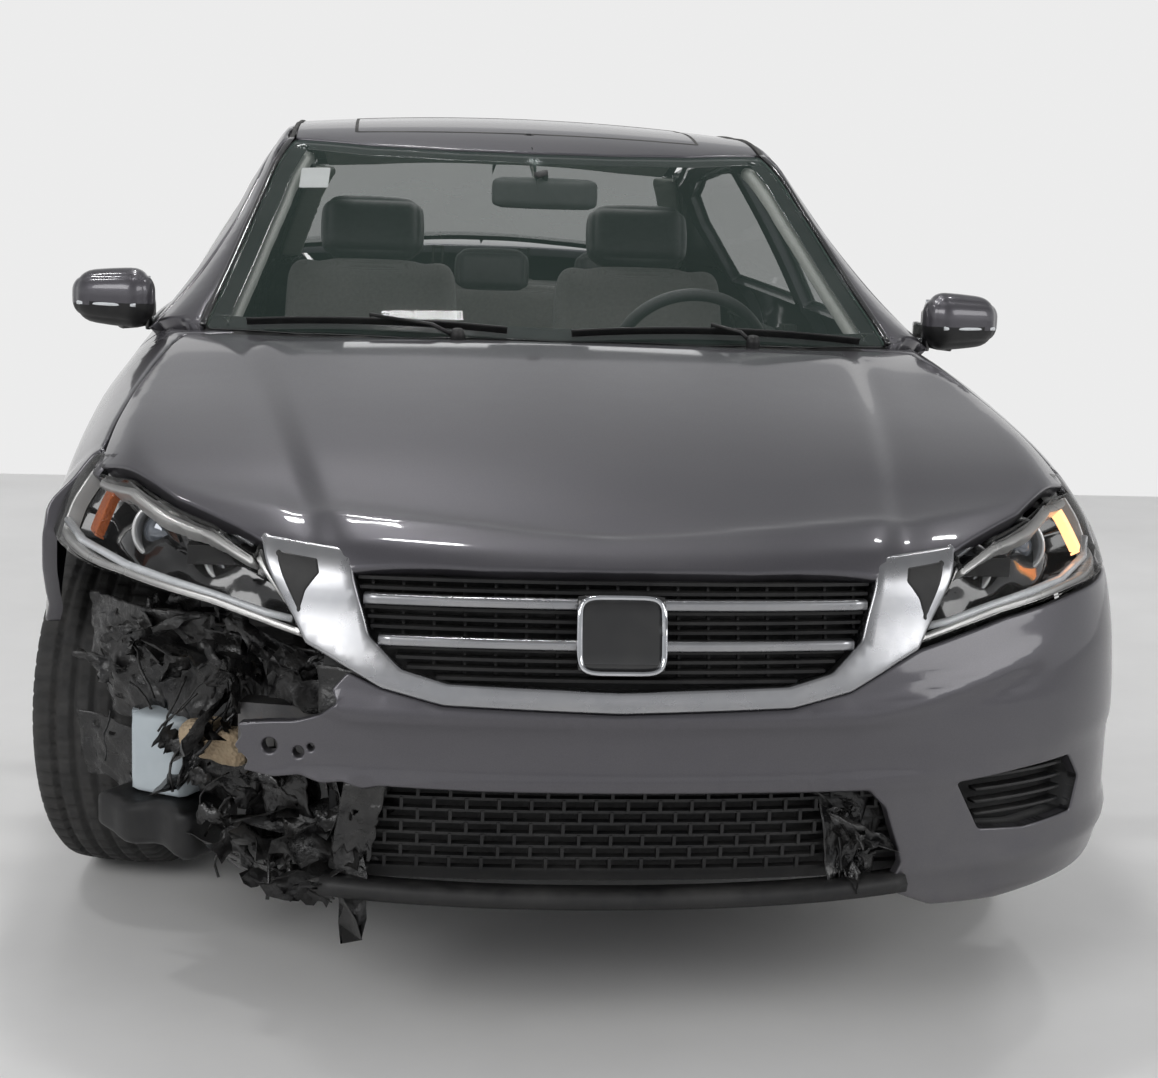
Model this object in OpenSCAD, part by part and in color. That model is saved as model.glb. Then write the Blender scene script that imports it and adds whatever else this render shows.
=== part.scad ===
// Mid-size saloon car with a broken right front corner.
// +Y points to the tail, +X to the car's left side and +Z up.
// The origin lies on the ground, under the middle of the car.

/* [Overall] */
// Length over the bumpers
body_l = 4860; // [4600:10:5900]
// Width over the body sides, without the mirrors
body_w = 1850; // [1800:10:2250]
// Height of the roof above the ground
body_h = 1466; // [1400:2:1620]

/* [Wheels] */
// Distance between the front and rear axles
wheelbase = 2776; // [2700:2:2800]
// Overall diameter of a tyre
tyre_d = 668; // [600:2:690]
// Width of a tyre
tyre_w = 215; // [175:5:225]
// Diameter of a rim
rim_d = 432; // [381:1:458]
// Turn of the front wheels as parked, towards the right
parked_turn = 12; // [0:1:20]

/* [Panels] */
// Gap between neighbouring panels
shut_gap = 8; // [7:1:12]
// Thickness of the outer door skin with its frame
skin_t = 30; // [20:1:34]
// Thickness of a whole door
door_t = 108; // [80:1:112]
// Thickness of the hood, roof and trunk lid with their inner panels
lid_t = 26; // [18:1:30]
// Thickness of the window glass
glass_t = 6; // [4:1:8]
// Thickness of a bumper cover
cover_t = 12; // [6:1:20]

/* [Seats] */
// Width of a front seat
seat_w = 500; // [440:5:540]
// Rake of the seat backs
seat_rake = 22; // [15:1:26]

/* [Hidden] */
$fn = 48;

// Stretch of the drawn car to the chosen overall sizes.
wide = body_w / 1850;
long = body_l / 4860;
belt_z = 985;
tall = (body_h - belt_z) / (1466 - belt_z);
eps = 0.3;

// Axles and kingpins.
front_y = -1470 * long;
rear_y = front_y + wheelbase * long;
track_x = 792 * wide;
kingpin_x = 715 * wide;
wheel_z = tyre_d / 2;
arch_r = 378;

function up(z) = z > belt_z ? belt_z + (z - belt_z) * tall : z;
function smooth(t) = t * t * (3 - 2 * t);
function clamp(v, low, high) = min(max(v, low), high);

// Plan of the lower body, from the middle of the nose to the middle of the tail:
// the controls of a uniform cubic B-spline.
plan = [[0, -2435], [260, -2425], [500, -2385], [700, -2305], [848, -2178], [902, -1985],
    [916, -1760], [922, -1500], [922, -1200], [918, -850], [918, -450], [920, 0], [922, 450],
    [924, 850], [925, 1200], [920, 1500], [905, 1780], [870, 2040], [790, 2240], [600, 2365],
    [310, 2420], [0, 2435]];
plan_last = len(plan) - 1;

function control(i) = i < 0 ? [-plan[-i].x, plan[-i].y]
    : i > plan_last ? [-plan[2 * plan_last - i].x, plan[2 * plan_last - i].y]
    : plan[i];
function plan_at(u) = let (i = min(floor(u), plan_last), f = u - i)
    (control(i - 1) * pow(1 - f, 3) + control(i) * (3 * f * f * f - 6 * f * f + 4)
    + control(i + 1) * (-3 * f * f * f + 3 * f * f + 3 * f + 1) + control(i + 2) * f * f * f) / 6;
function plan_normal(u) = let (d = plan_at(min(u + 0.05, plan_last)) - plan_at(max(u - 0.05, 0)))
    [d.y, -d.x] / norm(d);

// Sections of the lower body: station on the plan, then [inset, height] from the sill up.
sections = [
    [0, [[70, 185], [25, 215], [20, 290], [8, 420], [0, 540], [12, 610], [40, 680], [60, 730], [80, 752], [150, 786]]],
    [2, [[60, 190], [18, 225], [12, 300], [6, 430], [0, 540], [14, 610], [42, 680], [56, 740], [84, 780], [150, 812]]],
    [4, [[45, 205], [8, 260], [2, 330], [4, 440], [2, 540], [8, 610], [22, 680], [48, 745], [90, 800], [140, 836]]],
    [5, [[55, 205], [14, 260], [2, 330], [2, 440], [0, 540], [4, 620], [17, 700], [35, 760], [80, 828], [140, 878]]],
    [6.5, [[60, 200], [25, 280], [10, 380], [0, 500], [-2, 600], [2, 700], [12, 770], [40, 835], [85, 885], [145, 926]]],
    [8, [[60, 200], [27, 300], [10, 400], [2, 500], [-2, 600], [0, 700], [10, 800], [32, 880], [84, 940], [165, 988]]],
    [9.5, [[60, 200], [27, 300], [10, 400], [2, 500], [-2, 600], [0, 700], [10, 800], [32, 900], [54, 950], [82, 985]]],
    [13, [[60, 200], [27, 300], [10, 400], [2, 500], [-2, 600], [-1, 700], [8, 810], [28, 905], [50, 955], [80, 998]]],
    [15, [[62, 205], [30, 300], [8, 400], [0, 500], [-3, 600], [-2, 700], [5, 820], [24, 920], [52, 980], [100, 1024]]],
    [17, [[64, 210], [30, 300], [8, 400], [0, 500], [2, 600], [8, 700], [18, 820], [36, 920], [66, 995], [130, 1058]]],
    [18.5, [[70, 215], [20, 300], [0, 420], [0, 520], [10, 620], [26, 740], [38, 840], [50, 930], [72, 1010], [130, 1066]]],
    [21, [[70, 215], [20, 300], [0, 420], [0, 520], [8, 600], [60, 700], [75, 800], [80, 900], [76, 1010], [92, 1088]]]];
body_rows = len(sections[0][1]);

function section_index(u, i = 0) = i >= len(sections) - 2 || u < sections[i + 1][0] ? i
    : section_index(u, i + 1);
function section_at(u) = let (i = section_index(u), a = sections[i], b = sections[i + 1],
    t = smooth(clamp((u - a[0]) / (b[0] - a[0]), 0, 1))) a[1] * (1 - t) + b[1] * t;

// Height of the hood, cowl and deck along the middle of the car.
spine = [[-2435, 700], [-2361, 750], [-2285, 786], [-2200, 816], [-2000, 870], [-1800, 912],
    [-1600, 946], [-1400, 976], [-1240, 998], [-1100, 1006], [1650, 1030], [1780, 1074],
    [2000, 1096], [2250, 1106], [2435, 1098]];

// The lower body as rings, from the middle of the floor out, up the sides and in over the lid.
stations = [0.01, for (i = [1 : 2 * plan_last - 1]) i / 2, plan_last - 0.01];
lid_rows = 5;
body_rings = body_rows + 2 + lid_rows;
function body_point(u, r) = let (s = section_at(u)[r], p = plan_at(u) - plan_normal(u) * s[0])
    [p.x * wide, p.y * long, up(s[1])];
function lid_point(u, k) = let (edge = body_point(u, body_rows - 1), t = k / lid_rows,
    top = up(lookup(edge.y / long, spine)))
    [edge.x * (1 - t), edge.y, edge.z + (top - edge.z) * sin(90 * t)];
function floor_point(u, k) = let (edge = body_point(u, 0)) [edge.x * k / 2, edge.y, edge.z];
function body_ring(u) = [for (r = [0 : body_rings - 1])
    r < 2 ? floor_point(u, r)
    : r < body_rows + 2 ? body_point(u, r - 2)
    : lid_point(u, r - body_rows - 1)];

// The cabin as cross-sections: along the middle of the car, [station, height].
cabin_top = [[-1400, 890], [-1240, 1000], [-1000, 1110], [-800, 1212], [-600, 1308], [-450, 1374],
    [-350, 1406], [-250, 1429], [-100, 1450], [150, 1464], [300, 1466], [500, 1462], [700, 1448],
    [950, 1410], [1150, 1356], [1350, 1278], [1550, 1192], [1750, 1106], [1850, 1063], [2000, 1000]];
// Half width of the roof rail and pillars, and of the belt.
rail = [[-1400, 765], [-1110, 735], [-900, 692], [-700, 650], [-500, 612], [-340, 588], [0, 580],
    [800, 572], [1150, 592], [1450, 640], [1780, 700], [2000, 722]];
belt = [[-1400, 800], [-1000, 838], [-600, 846], [1300, 846], [1700, 800], [2000, 770]];
cabin_stations = [-1340, -1240, -1110, -1000, -900, -800, -700, -600, -500, -400, -300, -200, -100,
    50, 200, 400, 600, 800, 950, 1050, 1150, 1250, 1350, 1450, 1550, 1650, 1750, 1850];
sweep = 130;
crown = 30;
cabin_base = 900;
side_rows = 5;
roof_rows = 5;
function cabin_z(x, y) = let (ahead = clamp((y - 200) / 800, -1, 1),
    drop = crown * clamp((y + 400) / 400, 0, 1) * pow(x / 600, 2))
    lookup(y + ahead * sweep * pow(x / 720, 2), cabin_top) - drop;
function side_x(y, t) = let (low = lookup(y, belt), high = lookup(y, rail))
    low + (high - low) * t + 14 * sin(180 * t);
function cabin_section(y) = let (rail_x = lookup(y, rail),
    rail_z = max(cabin_z(rail_x, y), cabin_base + 20), low_z = min(belt_z - 10, rail_z - 10)) concat(
    [[0, cabin_base], [lookup(y, belt), cabin_base]],
    [for (k = [0 : side_rows - 1]) [side_x(y, k / side_rows), low_z + (rail_z - low_z) * k / side_rows]],
    [for (k = [0 : roof_rows]) let (x = rail_x * (1 - k / roof_rows)) [x, max(cabin_z(x, y), cabin_base + 20)]]);
function cabin_ring(y) = [for (p = cabin_section(y)) [p.x * wide, y * long, up(p.y)]];

// A solid through rings of equal length. Its first and last rings lie in its end faces.
module ring_solid(rings) {
    count = len(rings[0]);
    last = len(rings) - 1;
    sides = [for (r = [0 : last - 1], i = [0 : count - 1]) let (j = (i + 1) % count)
        [r * count + i, r * count + j, (r + 1) * count + j, (r + 1) * count + i]];
    triangles = [for (q = sides) each [[q[0], q[1], q[2]], [q[0], q[2], q[3]]]];
    polyhedron([for (ring = rings) each ring], concat(triangles,
        [[for (i = [count - 1 : -1 : 0]) i], [for (i = [0 : count - 1]) last * count + i]]));
}

// Left halves of the lower body and of the cabin, lapping the middle plane a little.
module body_half() {
    translate([-1, 0, 0])
        ring_solid([for (u = stations) body_ring(u)]);
}

module cabin_half() {
    translate([-1, 0, 0])
        ring_solid([for (y = cabin_stations) cabin_ring(y)]);
}

// Its children on the left, and again on the right.
module pair() {
    children();
    mirror([1, 0, 0])
        children();
}

// An outline drawn in the car's stretched plan or side view.
function stretched_plan(points) = [for (p = points) [p.x * wide, p.y * long]];
function stretched_side(points) = [for (p = points) [p.x * long, up(p.y)]];

// An (x, y) outline swept up from z = low to z = high.
module plan_prism(points, low = 100, high = 1800, grow = 0) {
    translate([0, 0, low])
        linear_extrude(high - low)
            offset(delta = grow)
                polygon(stretched_plan(points));
}

// A (y, z) outline swept across the left side from x = near to x = far.
module side_prism(points, near = 0, far = 1400, grow = 0) {
    translate([near, 0, 0])
        rotate([90, 0, 90])
            linear_extrude(far - near)
                offset(delta = grow)
                    polygon(stretched_side(points));
}

// An (x, z) outline swept from y = from to y = to.
module front_prism(points, from, to, grow = 0) {
    translate([0, to * long, 0])
        rotate([90, 0, 0])
            linear_extrude((to - from) * long)
                offset(delta = grow)
                    polygon([for (p = points) [p.x * wide, up(p.y)]]);
}

// A box between two corners of the unstretched car.
module block(x, y, z) {
    translate([x[0] * wide, y[0] * long, up(z[0])])
        cube([(x[1] - x[0]) * wide, (y[1] - y[0]) * long, up(z[1]) - up(z[0])]);
}

// A round bar along Y or Z.
module bar_y(x, y, z, r) {
    translate([x * wide, y[1] * long, z])
        rotate([90, 0, 0])
            cylinder(h = (y[1] - y[0]) * long, r = r);
}

module bar_z(x, y, z, r) {
    translate([x * wide, y * long, z[0]])
        cylinder(h = z[1] - z[0], r = r);
}

// Walls of the left half: the surface, thickened inwards and down.
module body_wall(inwards, down) {
    difference() {
        body_half();
        translate([-inwards, 0, -down])
            body_half();
    }
}

module cabin_wall(inwards, down) {
    difference() {
        cabin_half();
        translate([-inwards, 0, -down])
            cabin_half();
    }
}

module whole_body() {
    pair()
        body_half();
}

module wheel_arches(r = arch_r) {
    for (y = [front_y, rear_y])
        translate([500 * wide, y, wheel_z])
            rotate([0, 90, 0])
                cylinder(h = 700, r = r);
}

// Outlines of the panels, unstretched. (x, y) in plan, (y, z) in side view.
hood_edge = [[0, -2356], [200, -2354], [397, -2340], [523, -2286], [660, -2168], [800, -1985],
    [797, -1800], [786, -1600], [768, -1400], [738, -1150], [500, -1218], [250, -1261], [0, -1275]];
hood_outline = concat(hood_edge, [for (i = [len(hood_edge) - 2 : -1 : 1]) [-hood_edge[i].x, hood_edge[i].y]]);
windshield_edge = [[0, -1232], [300, -1214], [520, -1170], [706, -1112], [640, -740], [596, -490],
    [560, -350], [380, -412], [190, -445], [0, -455]];
roof_edge = [[0, -447], [190, -437], [380, -404], [560, -340], [560, -200], [560, 300], [552, 800],
    [550, 1010], [400, 1052], [200, 1074], [0, 1080]];
rear_window_edge = [[0, 1088], [200, 1082], [400, 1060], [550, 1018], [640, 1350], [694, 1680],
    [500, 1738], [250, 1764], [0, 1770]];
deck_edge = [[0, 1800], [640, 1800], [686, 1780], [680, 1900], [664, 2080], [640, 2240],
    [612, 2460], [0, 2460]];
front_door_edge = [[-1002, 305], [-1014, 450], [-1016, 640], [-1000, 820], [-985, 985], [-650, 1190],
    [-450, 1300], [-305, 1358], [-50, 1390], [190, 1396], [196, 1200], [190, 985], [184, 640],
    [184, 305]];
rear_door_edge = [[192, 305], [192, 640], [198, 985], [204, 1200], [198, 1396], [500, 1392],
    [800, 1370], [1010, 1320], [1150, 1210], [1222, 1080], [1236, 985], [1214, 880], [1150, 760],
    [1040, 662], [970, 560], [926, 440], [912, 305]];
front_glass = [[-905, 992], [-640, 1150], [-450, 1255], [-310, 1318], [-50, 1356], [148, 1362],
    [150, 1200], [146, 1004]];
rear_glass = [[246, 1005], [250, 1200], [246, 1362], [500, 1358], [790, 1336], [980, 1288],
    [1090, 1200], [1150, 1090], [1166, 1022]];
fender_edge = [[-1985, 1010], [-1985, 865], [-1885, 850], [-1925, 716], [-1840, 590], [-1780, 200],
    [-1010, 200], [-1010, 440], [-1024, 640], [-1008, 820], [-993, 985], [-1010, 1060], [-1160, 1060]];
headlamp_face = [[457, 640], [605, 677], [750, 702], [1000, 726], [1000, 900], [800, 880], [660, 830],
    [523, 784]];
tail_lamp_face = [[590, 800], [960, 790], [960, 968], [700, 985], [585, 935]];

// Lets the shell shapes inside come out as one smooth-faceted mesh.
module shell() {
    minkowski() {
        children();
    }
}

// Half width of the tunnel, and of the space in it for the exhaust.
tunnel_w = 122;
tunnel_gap = 100;

// Where the posts stop under the swing of the door frames, and the back of the B-pillar's inside.
post_top = 925;
pillar_back = 212;

// Jacking pads under the sills: places along the car and the height of their faces.
jack_pads = [-850, 800];
pad_face = 203;

module floor_pan() {
    color("#2b2c2e") {
        difference() {
            union() {
                block([-800, 800], [-1060, 900], [215, 240]);
                block([-640, 640], [900, 1180], [215, 240]);
                block([-490, 490], [-1140, -1060], [215, 240]);
                block([-tunnel_w, tunnel_w], [-1120, 1180], [240, 400]);
                block([-490, 490], [-1140, -1120], [215, 925]);
                block([-785, 785], [-1140, -1120], [700, 925]);
                block([-640, 640], [1150, 1180], [240, 940]);
                block([-640, 640], [650, 665], [240, 400]);
                block([-640, 640], [650, 1150], [385, 400]);
            }
            block([-tunnel_gap, tunnel_gap], [-1150, 1190], [200, 380]);
        }
        pair() {
            block([740, 800], [-1060, 900], [240, 297]);
            block([740, 785], [-1060, -1000], [297, 940]);
            block([740, 785], [-1005, -920], [297, post_top]);
            block([490, 785], [-1060, -1045], [240, 720]);
            block([490, 785], [-1120, -1060], [705, 720]);
            block([750, 785], [140, pillar_back], [297, 940]);
            block([750, 785], [pillar_back - 5, 266], [297, post_top]);
            for (y = jack_pads)
                block([745, 795], [y - 40, y + 40], [pad_face, 220]);
            block([620, 640], [1180, 2230], [320, 940]);
            block([400, 480], [-2190, -1140], [400, 500]);
            block([470, 490], [-1960, -1140], [500, 780]);
            block([470, 490], [-1550, -1390], [780, 860]);
            block([490, 690], [-1550, -1390], [835, 860]);
            block([490, 690], [-1550, -1535], [740, 835]);
            block([490, 690], [-1405, -1390], [740, 835]);
            block([690, 720], [-1880, -1140], [790, 815]);
            block([690, 720], [-1550, -1390], [815, 860]);
            for (lead = [front_door_edge[0].x, rear_door_edge[0].x], z = hinge_heights)
                door_hinge_pin(lead, z);
            hood_hinge_pin();
            deck_hinge_pin();
        }
        block([-620, 620], [1180, 2250], [320, 340]);
        block([-640, 640], [2230, 2250], [340, 670]);
        block([-640, 640], [1150, 1700], [940, 960]);
    }
}

// Door hinges: height of each, its axis across the car and its distance behind the door's edge.
hinge_heights = [470, 690];
hinge_x = 903;
hinge_back = 60;
door_pin_r = 5;
lid_pin_r = 4;
pin_fit = 0.06;
hood_axis = [-1120, 962];
hood_hinge_x = 670;
deck_axis = [1790, 1062];
deck_hinge_x = 150;

// A pin on the body, held between two plates that reach out from the post.
module door_hinge_pin(lead, z) {
    axis_y = (lead + hinge_back) * long;
    for (side = [-1, 1])
        translate([785 * wide, axis_y - 7, z + side * 17 - 4])
            cube([hinge_x * wide - 785 * wide, 14, 8]);
    translate([hinge_x * wide, axis_y, z - 23])
        cylinder(h = 46, r = door_pin_r);
}

// The eye on the door that turns on the pin, with its strap to the pocket's back.
module door_hinge_eye(lead, z) {
    difference() {
        translate([hinge_x * wide, (lead + hinge_back) * long, z - 11])
            union() {
                cylinder(h = 22, r = 8);
                translate([-8, 0, 0])
                    cube([12, hinge_strap * long, 22]);
            }
        translate([hinge_x * wide, (lead + hinge_back) * long, z - 12])
            cylinder(h = 24, r = door_pin_r + pin_fit);
    }
}

hinge_strap = 24;
plate_rim = 5;

// The space round a hinge, open at the door's leading edge.
module hinge_pocket(lead, z) {
    translate([700 * wide, (lead - 10) * long, z - 28])
        cube([(hinge_x + 9 - 700) * wide, (hinge_back + hinge_strap + 10) * long + eps, 56]);
}

// A lid's hinge pin between its two plates.
module lid_hinge_pin(x, axis, low, back = 8) {
    for (side = [-1, 1])
        translate([x * wide + side * 16 - 4, axis[0] * long - back, up(low)])
            cube([8, plate_rim + back, up(axis[1]) + plate_rim - up(low)]);
    translate([x * wide - 22, axis[0] * long, up(axis[1])])
        rotate([0, 90, 0])
            cylinder(h = 44, r = lid_pin_r);
}

// An eye along X at the origin of its axis, with an arm that runs to y = reach.
module lid_hinge_eye(x, axis, reach) {
    translate([x * wide, axis[0] * long, up(axis[1])])
        difference() {
            union() {
                translate([-9, 0, 0])
                    rotate([0, 90, 0])
                        cylinder(h = 18, r = 8);
                translate([-9, min(0, reach), -6])
                    cube([18, abs(reach), 12]);
            }
            translate([-10, 0, 0])
                rotate([0, 90, 0])
                    cylinder(h = 20, r = lid_pin_r + pin_fit);
        }
}

module hood_hinge_pin() {
    lid_hinge_pin(hood_hinge_x, hood_axis, 925);
}

module deck_hinge_pin() {
    lid_hinge_pin(deck_hinge_x, deck_axis, 940, back = 11);
    block([120, 180], [1700, 1799], [940, 960]);
}

// The slot in a lid that takes the arm of its hinge.
module lid_hinge_slot(x, axis, reach) {
    translate([x * wide - 9 - eps, axis[0] * long + min(0, reach) - eps, up(axis[1]) - 6 - eps])
        cube([18 + 2 * eps, abs(reach) + 2 * eps, 12 + 2 * eps]);
}

// Where the doors close: through the skin below the belt, right through above it.
module door_openings() {
    for (outline = [front_door_edge, rear_door_edge]) {
        side_prism(outline, near = 786, grow = shut_gap);
        intersection() {
            side_prism(outline, near = 480, grow = shut_gap);
            side_prism([[-1400, 935], [-1400, 1500], [1400, 1500], [1400, 935]], near = 480);
        }
    }
}

// The quarter panel, sill, pillars and roof rail of the left side.
module body_side_skin() {
    difference() {
        union() {
            intersection() {
                body_wall(40, 22);
                side_prism([[1000, 440], [1000, 1150], [2330, 1150], [2330, 690], [1700, 660], [1700, 200],
                    [1500, 200]], near = 560);
            }
            intersection() {
                body_half();
                side_prism([[-1002, 150], [-1002, 297], [960, 297], [960, 150]], near = 800);
            }
            intersection() {
                cabin_wall(45, 26);
                side_prism([[-1140, 900], [-1140, 1500], [1800, 1500], [1800, 900]], near = 480);
            }
        }
        door_openings();
        plan_prism(windshield_edge);
        plan_prism(roof_edge);
        plan_prism(rear_window_edge);
        plan_prism(deck_edge, grow = shut_gap);
        plan_prism(hood_outline, grow = shut_gap);
        front_prism(tail_lamp_face, 2060, 2500);
        side_prism(fender_edge, near = 600, grow = eps);
        wheel_arches();
    }
}

// The gutter between the rear window and the trunk lid.
module rear_gutter() {
    difference() {
        intersection() {
            translate([0, 0, -14])
                body_wall(0, 14);
            plan_prism([[0, 1762], [250, 1755], [500, 1726], [640, 1690], [700, 1690],
                [700, 1765], [660, 1779], [0, 1779]], low = 900);
        }
        translate([0, 0, -glass_t - 3])
            cabin_wall(40, 26);
        plan_prism(rear_window_edge);
    }
}

// The inner B-pillar, the foot of the A-pillar and the shelf inside the quarter panel.
module body_side_inner() {
    intersection() {
        translate([-skin_t - 10, 0, -8])
            cabin_wall(36, 28);
        union() {
            side_prism([[145, 1000], [145, 1440], [pillar_back, 1440], [pillar_back, 1000]], near = 560);
            side_prism([[145, 940], [145, 1000], [pillar_back, 1000], [pillar_back, 940]],
                near = 560, far = 780);
        }
    }
    intersection() {
        translate([-8, 0, -8])
            cabin_half();
        side_prism([[-1111, 940], [-1111, 975], [-1030, 975], [-1030, 940]], near = 736, far = 785);
    }
    intersection() {
        translate([-39, 0, -21])
            body_half();
        side_prism([[1245, 940], [1245, 960], [1700, 960], [1700, 940]], near = 640);
    }
}

module body_side() {
    body_side_skin();
    body_side_inner();
    rear_gutter();
}

module body_sides() {
    color("#4e4f58")
        shell()
            pair()
                body_side();
}

module cabin_top_panel(outline, thickness) {
    shell()
        pair()
            intersection() {
                cabin_wall(0, thickness);
                plan_prism(outline, low = cabin_base + 30);
            }
}

module roof_panel() {
    color("#4e4f58")
        cabin_top_panel(roof_edge, lid_t);
}

module windshield() {
    color("#3c4f4c", 0.5)
        cabin_top_panel(windshield_edge, glass_t + 2);
}

module rear_window() {
    color("#3c4f4c", 0.5)
        cabin_top_panel(rear_window_edge, glass_t + 2);
}

module front_fender() {
    difference() {
        union() {
            intersection() {
                body_wall(36, 20);
                side_prism(fender_edge, near = 560);
            }
            intersection() {
                translate([-34, 0, -18])
                    body_half();
                side_prism([[-1880, 790], [-1880, 815], [-1160, 815], [-1160, 790]], near = 720);
            }
        }
        plan_prism(hood_outline, grow = shut_gap, low = 820);
        side_prism(front_door_edge, near = 786, grow = shut_gap);
        translate([500 * wide, front_y, wheel_z])
            rotate([0, 90, 0])
                cylinder(h = 700, r = arch_r);
        plan_prism([[0, -1120], [900, -1120], [900, -700], [0, -700]], low = 940);
        block([0, 742], [-1160, -900], [816, 1100]);
        block([0, 700], [-1260, -1159], [816, 1100]);
        block([0, 786], [-1141, -900], [100, 1100]);
    }
}

// How far the torn tip of the right fender is bent out, in degrees.
fender_bend = 5;

module front_fenders() {
    color("#4e4f58")
        shell() {
            front_fender();
            mirror([1, 0, 0]) {
                difference() {
                    front_fender();
                    plan_prism([[500, -2200], [1200, -2200], [1200, -1790], [500, -1790]], high = 800);
                }
                translate([905 * wide, -1790 * long, 0])
                    rotate([0, 0, fender_bend])
                        translate([-905 * wide, 1790 * long, 0])
                            intersection() {
                                front_fender();
                                plan_prism([[500, -1885], [1200, -1885], [1200, -1789], [500, -1789]], low = 640, high = 800);
                            }
            }
        }
}

bumper_top = [[0, 553], [256, 561], [347, 583], [420, 622], [457, 640], [605, 677], [750, 702],
    [1000, 726], [1000, 150], [0, 150]];
lower_mouth = [[0, 433], [385, 430], [440, 300], [0, 290]];
fog_recess = [[545, 436], [745, 448], [770, 360], [590, 350]];
torn_edge = [[-1000, 900], [-440, 900], [-445, 640], [-395, 600], [-425, 545], [-372, 505], [-392, 470],
    [-345, 440], [-385, 400], [-410, 150], [-1000, 150]];

module bumper_cover(thickness) {
    difference() {
        whole_body();
        translate([0, 0, -2])
            scale([1 - thickness / 925, 1 - thickness / 2435, 1])
                whole_body();
    }
}

module front_bumper() {
    color("#4e4f58")
        shell()
            difference() {
                intersection() {
                    bumper_cover(cover_t);
                    pair()
                        front_prism(bumper_top, -2500, -1700);
                }
                pair() {
                    front_prism(lower_mouth, -2500, -2100);
                    front_prism(fog_recess, -2500, -1900);
                    front_prism([[0, 300], [452, 300], [440, 100], [0, 100]], -2500, -1700);
                    side_prism(fender_edge, near = 500, grow = eps);
                    translate([500 * wide, front_y, wheel_z])
                        rotate([0, 90, 0])
                            cylinder(h = 700, r = arch_r + 6);
                    block([0, 1000], [-1860, -1500], [0, 900]);
                }
                front_prism(torn_edge, -2500, -1600);
            }
}

module rear_bumper() {
    color("#4e4f58")
        shell()
            intersection() {
                bumper_cover(cover_t);
                pair()
                    difference() {
                        side_prism([[1710, 190], [1700, 655], [2330, 685], [2500, 690], [2500, 190]]);
                        translate([500 * wide, rear_y, wheel_z])
                            rotate([0, 90, 0])
                                cylinder(h = 700, r = arch_r + 6);
                    }
            }
}

// Towing socket in the beam: radius and distance from the middle.
tow_r = 9;
tow_x = 500;

module bumper_beam() {
    color("#3a3c40") {
        difference() {
            translate([0, 0, 440])
                linear_extrude(80)
                    polygon(stretched_plan([[-560, -2250], [-300, -2312], [0, -2330], [300, -2312],
                        [560, -2250], [548, -2206], [290, -2268], [0, -2286], [-290, -2268], [-548, -2206]]));
            translate([-tow_x * wide, -2190 * long, 480])
                rotate([90, 0, 0])
                    cylinder(h = 140 * long, r = tow_r);
        }
        pair()
            block([405, 475], [-2250, -2190], [415, 439.9]);
        pair()
            block([405, 475], [-2225, -2190], [415, 495]);
    }
}

module radiator() {
    color("#202123") {
        block([-640, 640], [-2205, -2150], [722, 752]);
        block([-400, 400], [-2200, -2150], [262, 292]);
        pair()
            block([370, 400], [-2189, -2150], [292, 722]);
        block([-370, 370], [-2185, -2155], [292, 722]);
        pair()
            block([600, 640], [-2150, -1960], [722, 752]);
        pair()
            block([490, 640], [-1990, -1960], [722, 752]);
    }
}

surround_outer = [[0, 553], [256, 561], [347, 583], [420, 622], [457, 640], [523, 784], [0, 784]];
surround_inner = [[0, 587], [250, 594], [317, 612], [364, 656], [392, 800], [0, 800]];

module grille_layer(from, to) {
    difference() {
        scale([1 - from / 925, 1 - from / 2435, 1])
            body_half();
        scale([1 - to / 925, 1 - to / 2435, 1])
            translate([0, 0, -2])
                body_half();
    }
}

module grille() {
    color("#c8cacc")
        shell()
            difference() {
                pair() {
                    intersection() {
                        grille_layer(1, 32);
                        difference() {
                            front_prism(surround_outer, -2500, -2200);
                            front_prism(surround_inner, -2500, -2100);
                        }
                    }
                    intersection() {
                        grille_layer(20, 40);
                        front_prism(surround_outer, -2500, -2240);
                        for (z = [600 : 36 : 745])
                            block([-5, 420], [-2500, -2200], [z, z + 14]);
                    }
                    intersection() {
                        grille_layer(10, 36);
                        front_prism(surround_outer, -2500, -2240);
                        union() {
                            block([-5, 400], [-2500, -2200], [698, 712]);
                            block([-5, 380], [-2500, -2200], [645, 659]);
                            block([-5, 66], [-2500, -2200], [615, 724]);
                        }
                    }
                    intersection() {
                        grille_layer(14, 30);
                        front_prism(lower_mouth, -2500, -2100);
                        union() {
                            for (z = [300 : 40 : 430])
                                block([-5, 460], [-2500, -2100], [z, z + 12]);
                            for (x = [0 : 150 : 440])
                                block([x, x + 12], [-2500, -2100], [280, 440]);
                        }
                    }
                    intersection() {
                        grille_layer(-2, 60);
                        front_prism([[0, 290], [440, 300], [446, 270], [0, 262]], -2500, -2200);
                    }
                }
                plan_prism(hood_outline, grow = shut_gap, low = 700);
            }
}

module headlamp() {
    difference() {
        intersection() {
            body_wall(70, 45);
            front_prism(headlamp_face, -2480, -1700);
        }
        plan_prism(hood_outline, grow = shut_gap, low = 400);
        side_prism(fender_edge, near = 400, grow = 5);
        block([0, 1000], [-1860, -1500], [400, 1000]);
        block([0, 641], [-2206, -1900], [700, 752.3]);
    }
}

module headlamps() {
    color("#c9cdd0", 0.8)
        shell()
            pair()
                headlamp();
}

module tail_lamps() {
    color("#8c1a1c")
        shell()
            pair()
                difference() {
                    intersection() {
                        body_wall(60, 20);
                        front_prism(tail_lamp_face, 2060, 2500);
                    }
                    plan_prism(deck_edge, grow = shut_gap);
                    block([0, 641], [2000, 2331], [0, 950]);
                }
}

// Room in the cowl for the hood's hinge.
module cowl_slot() {
    block([640, 700], [-1170, -1095], [936, 1100]);
}

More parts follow.
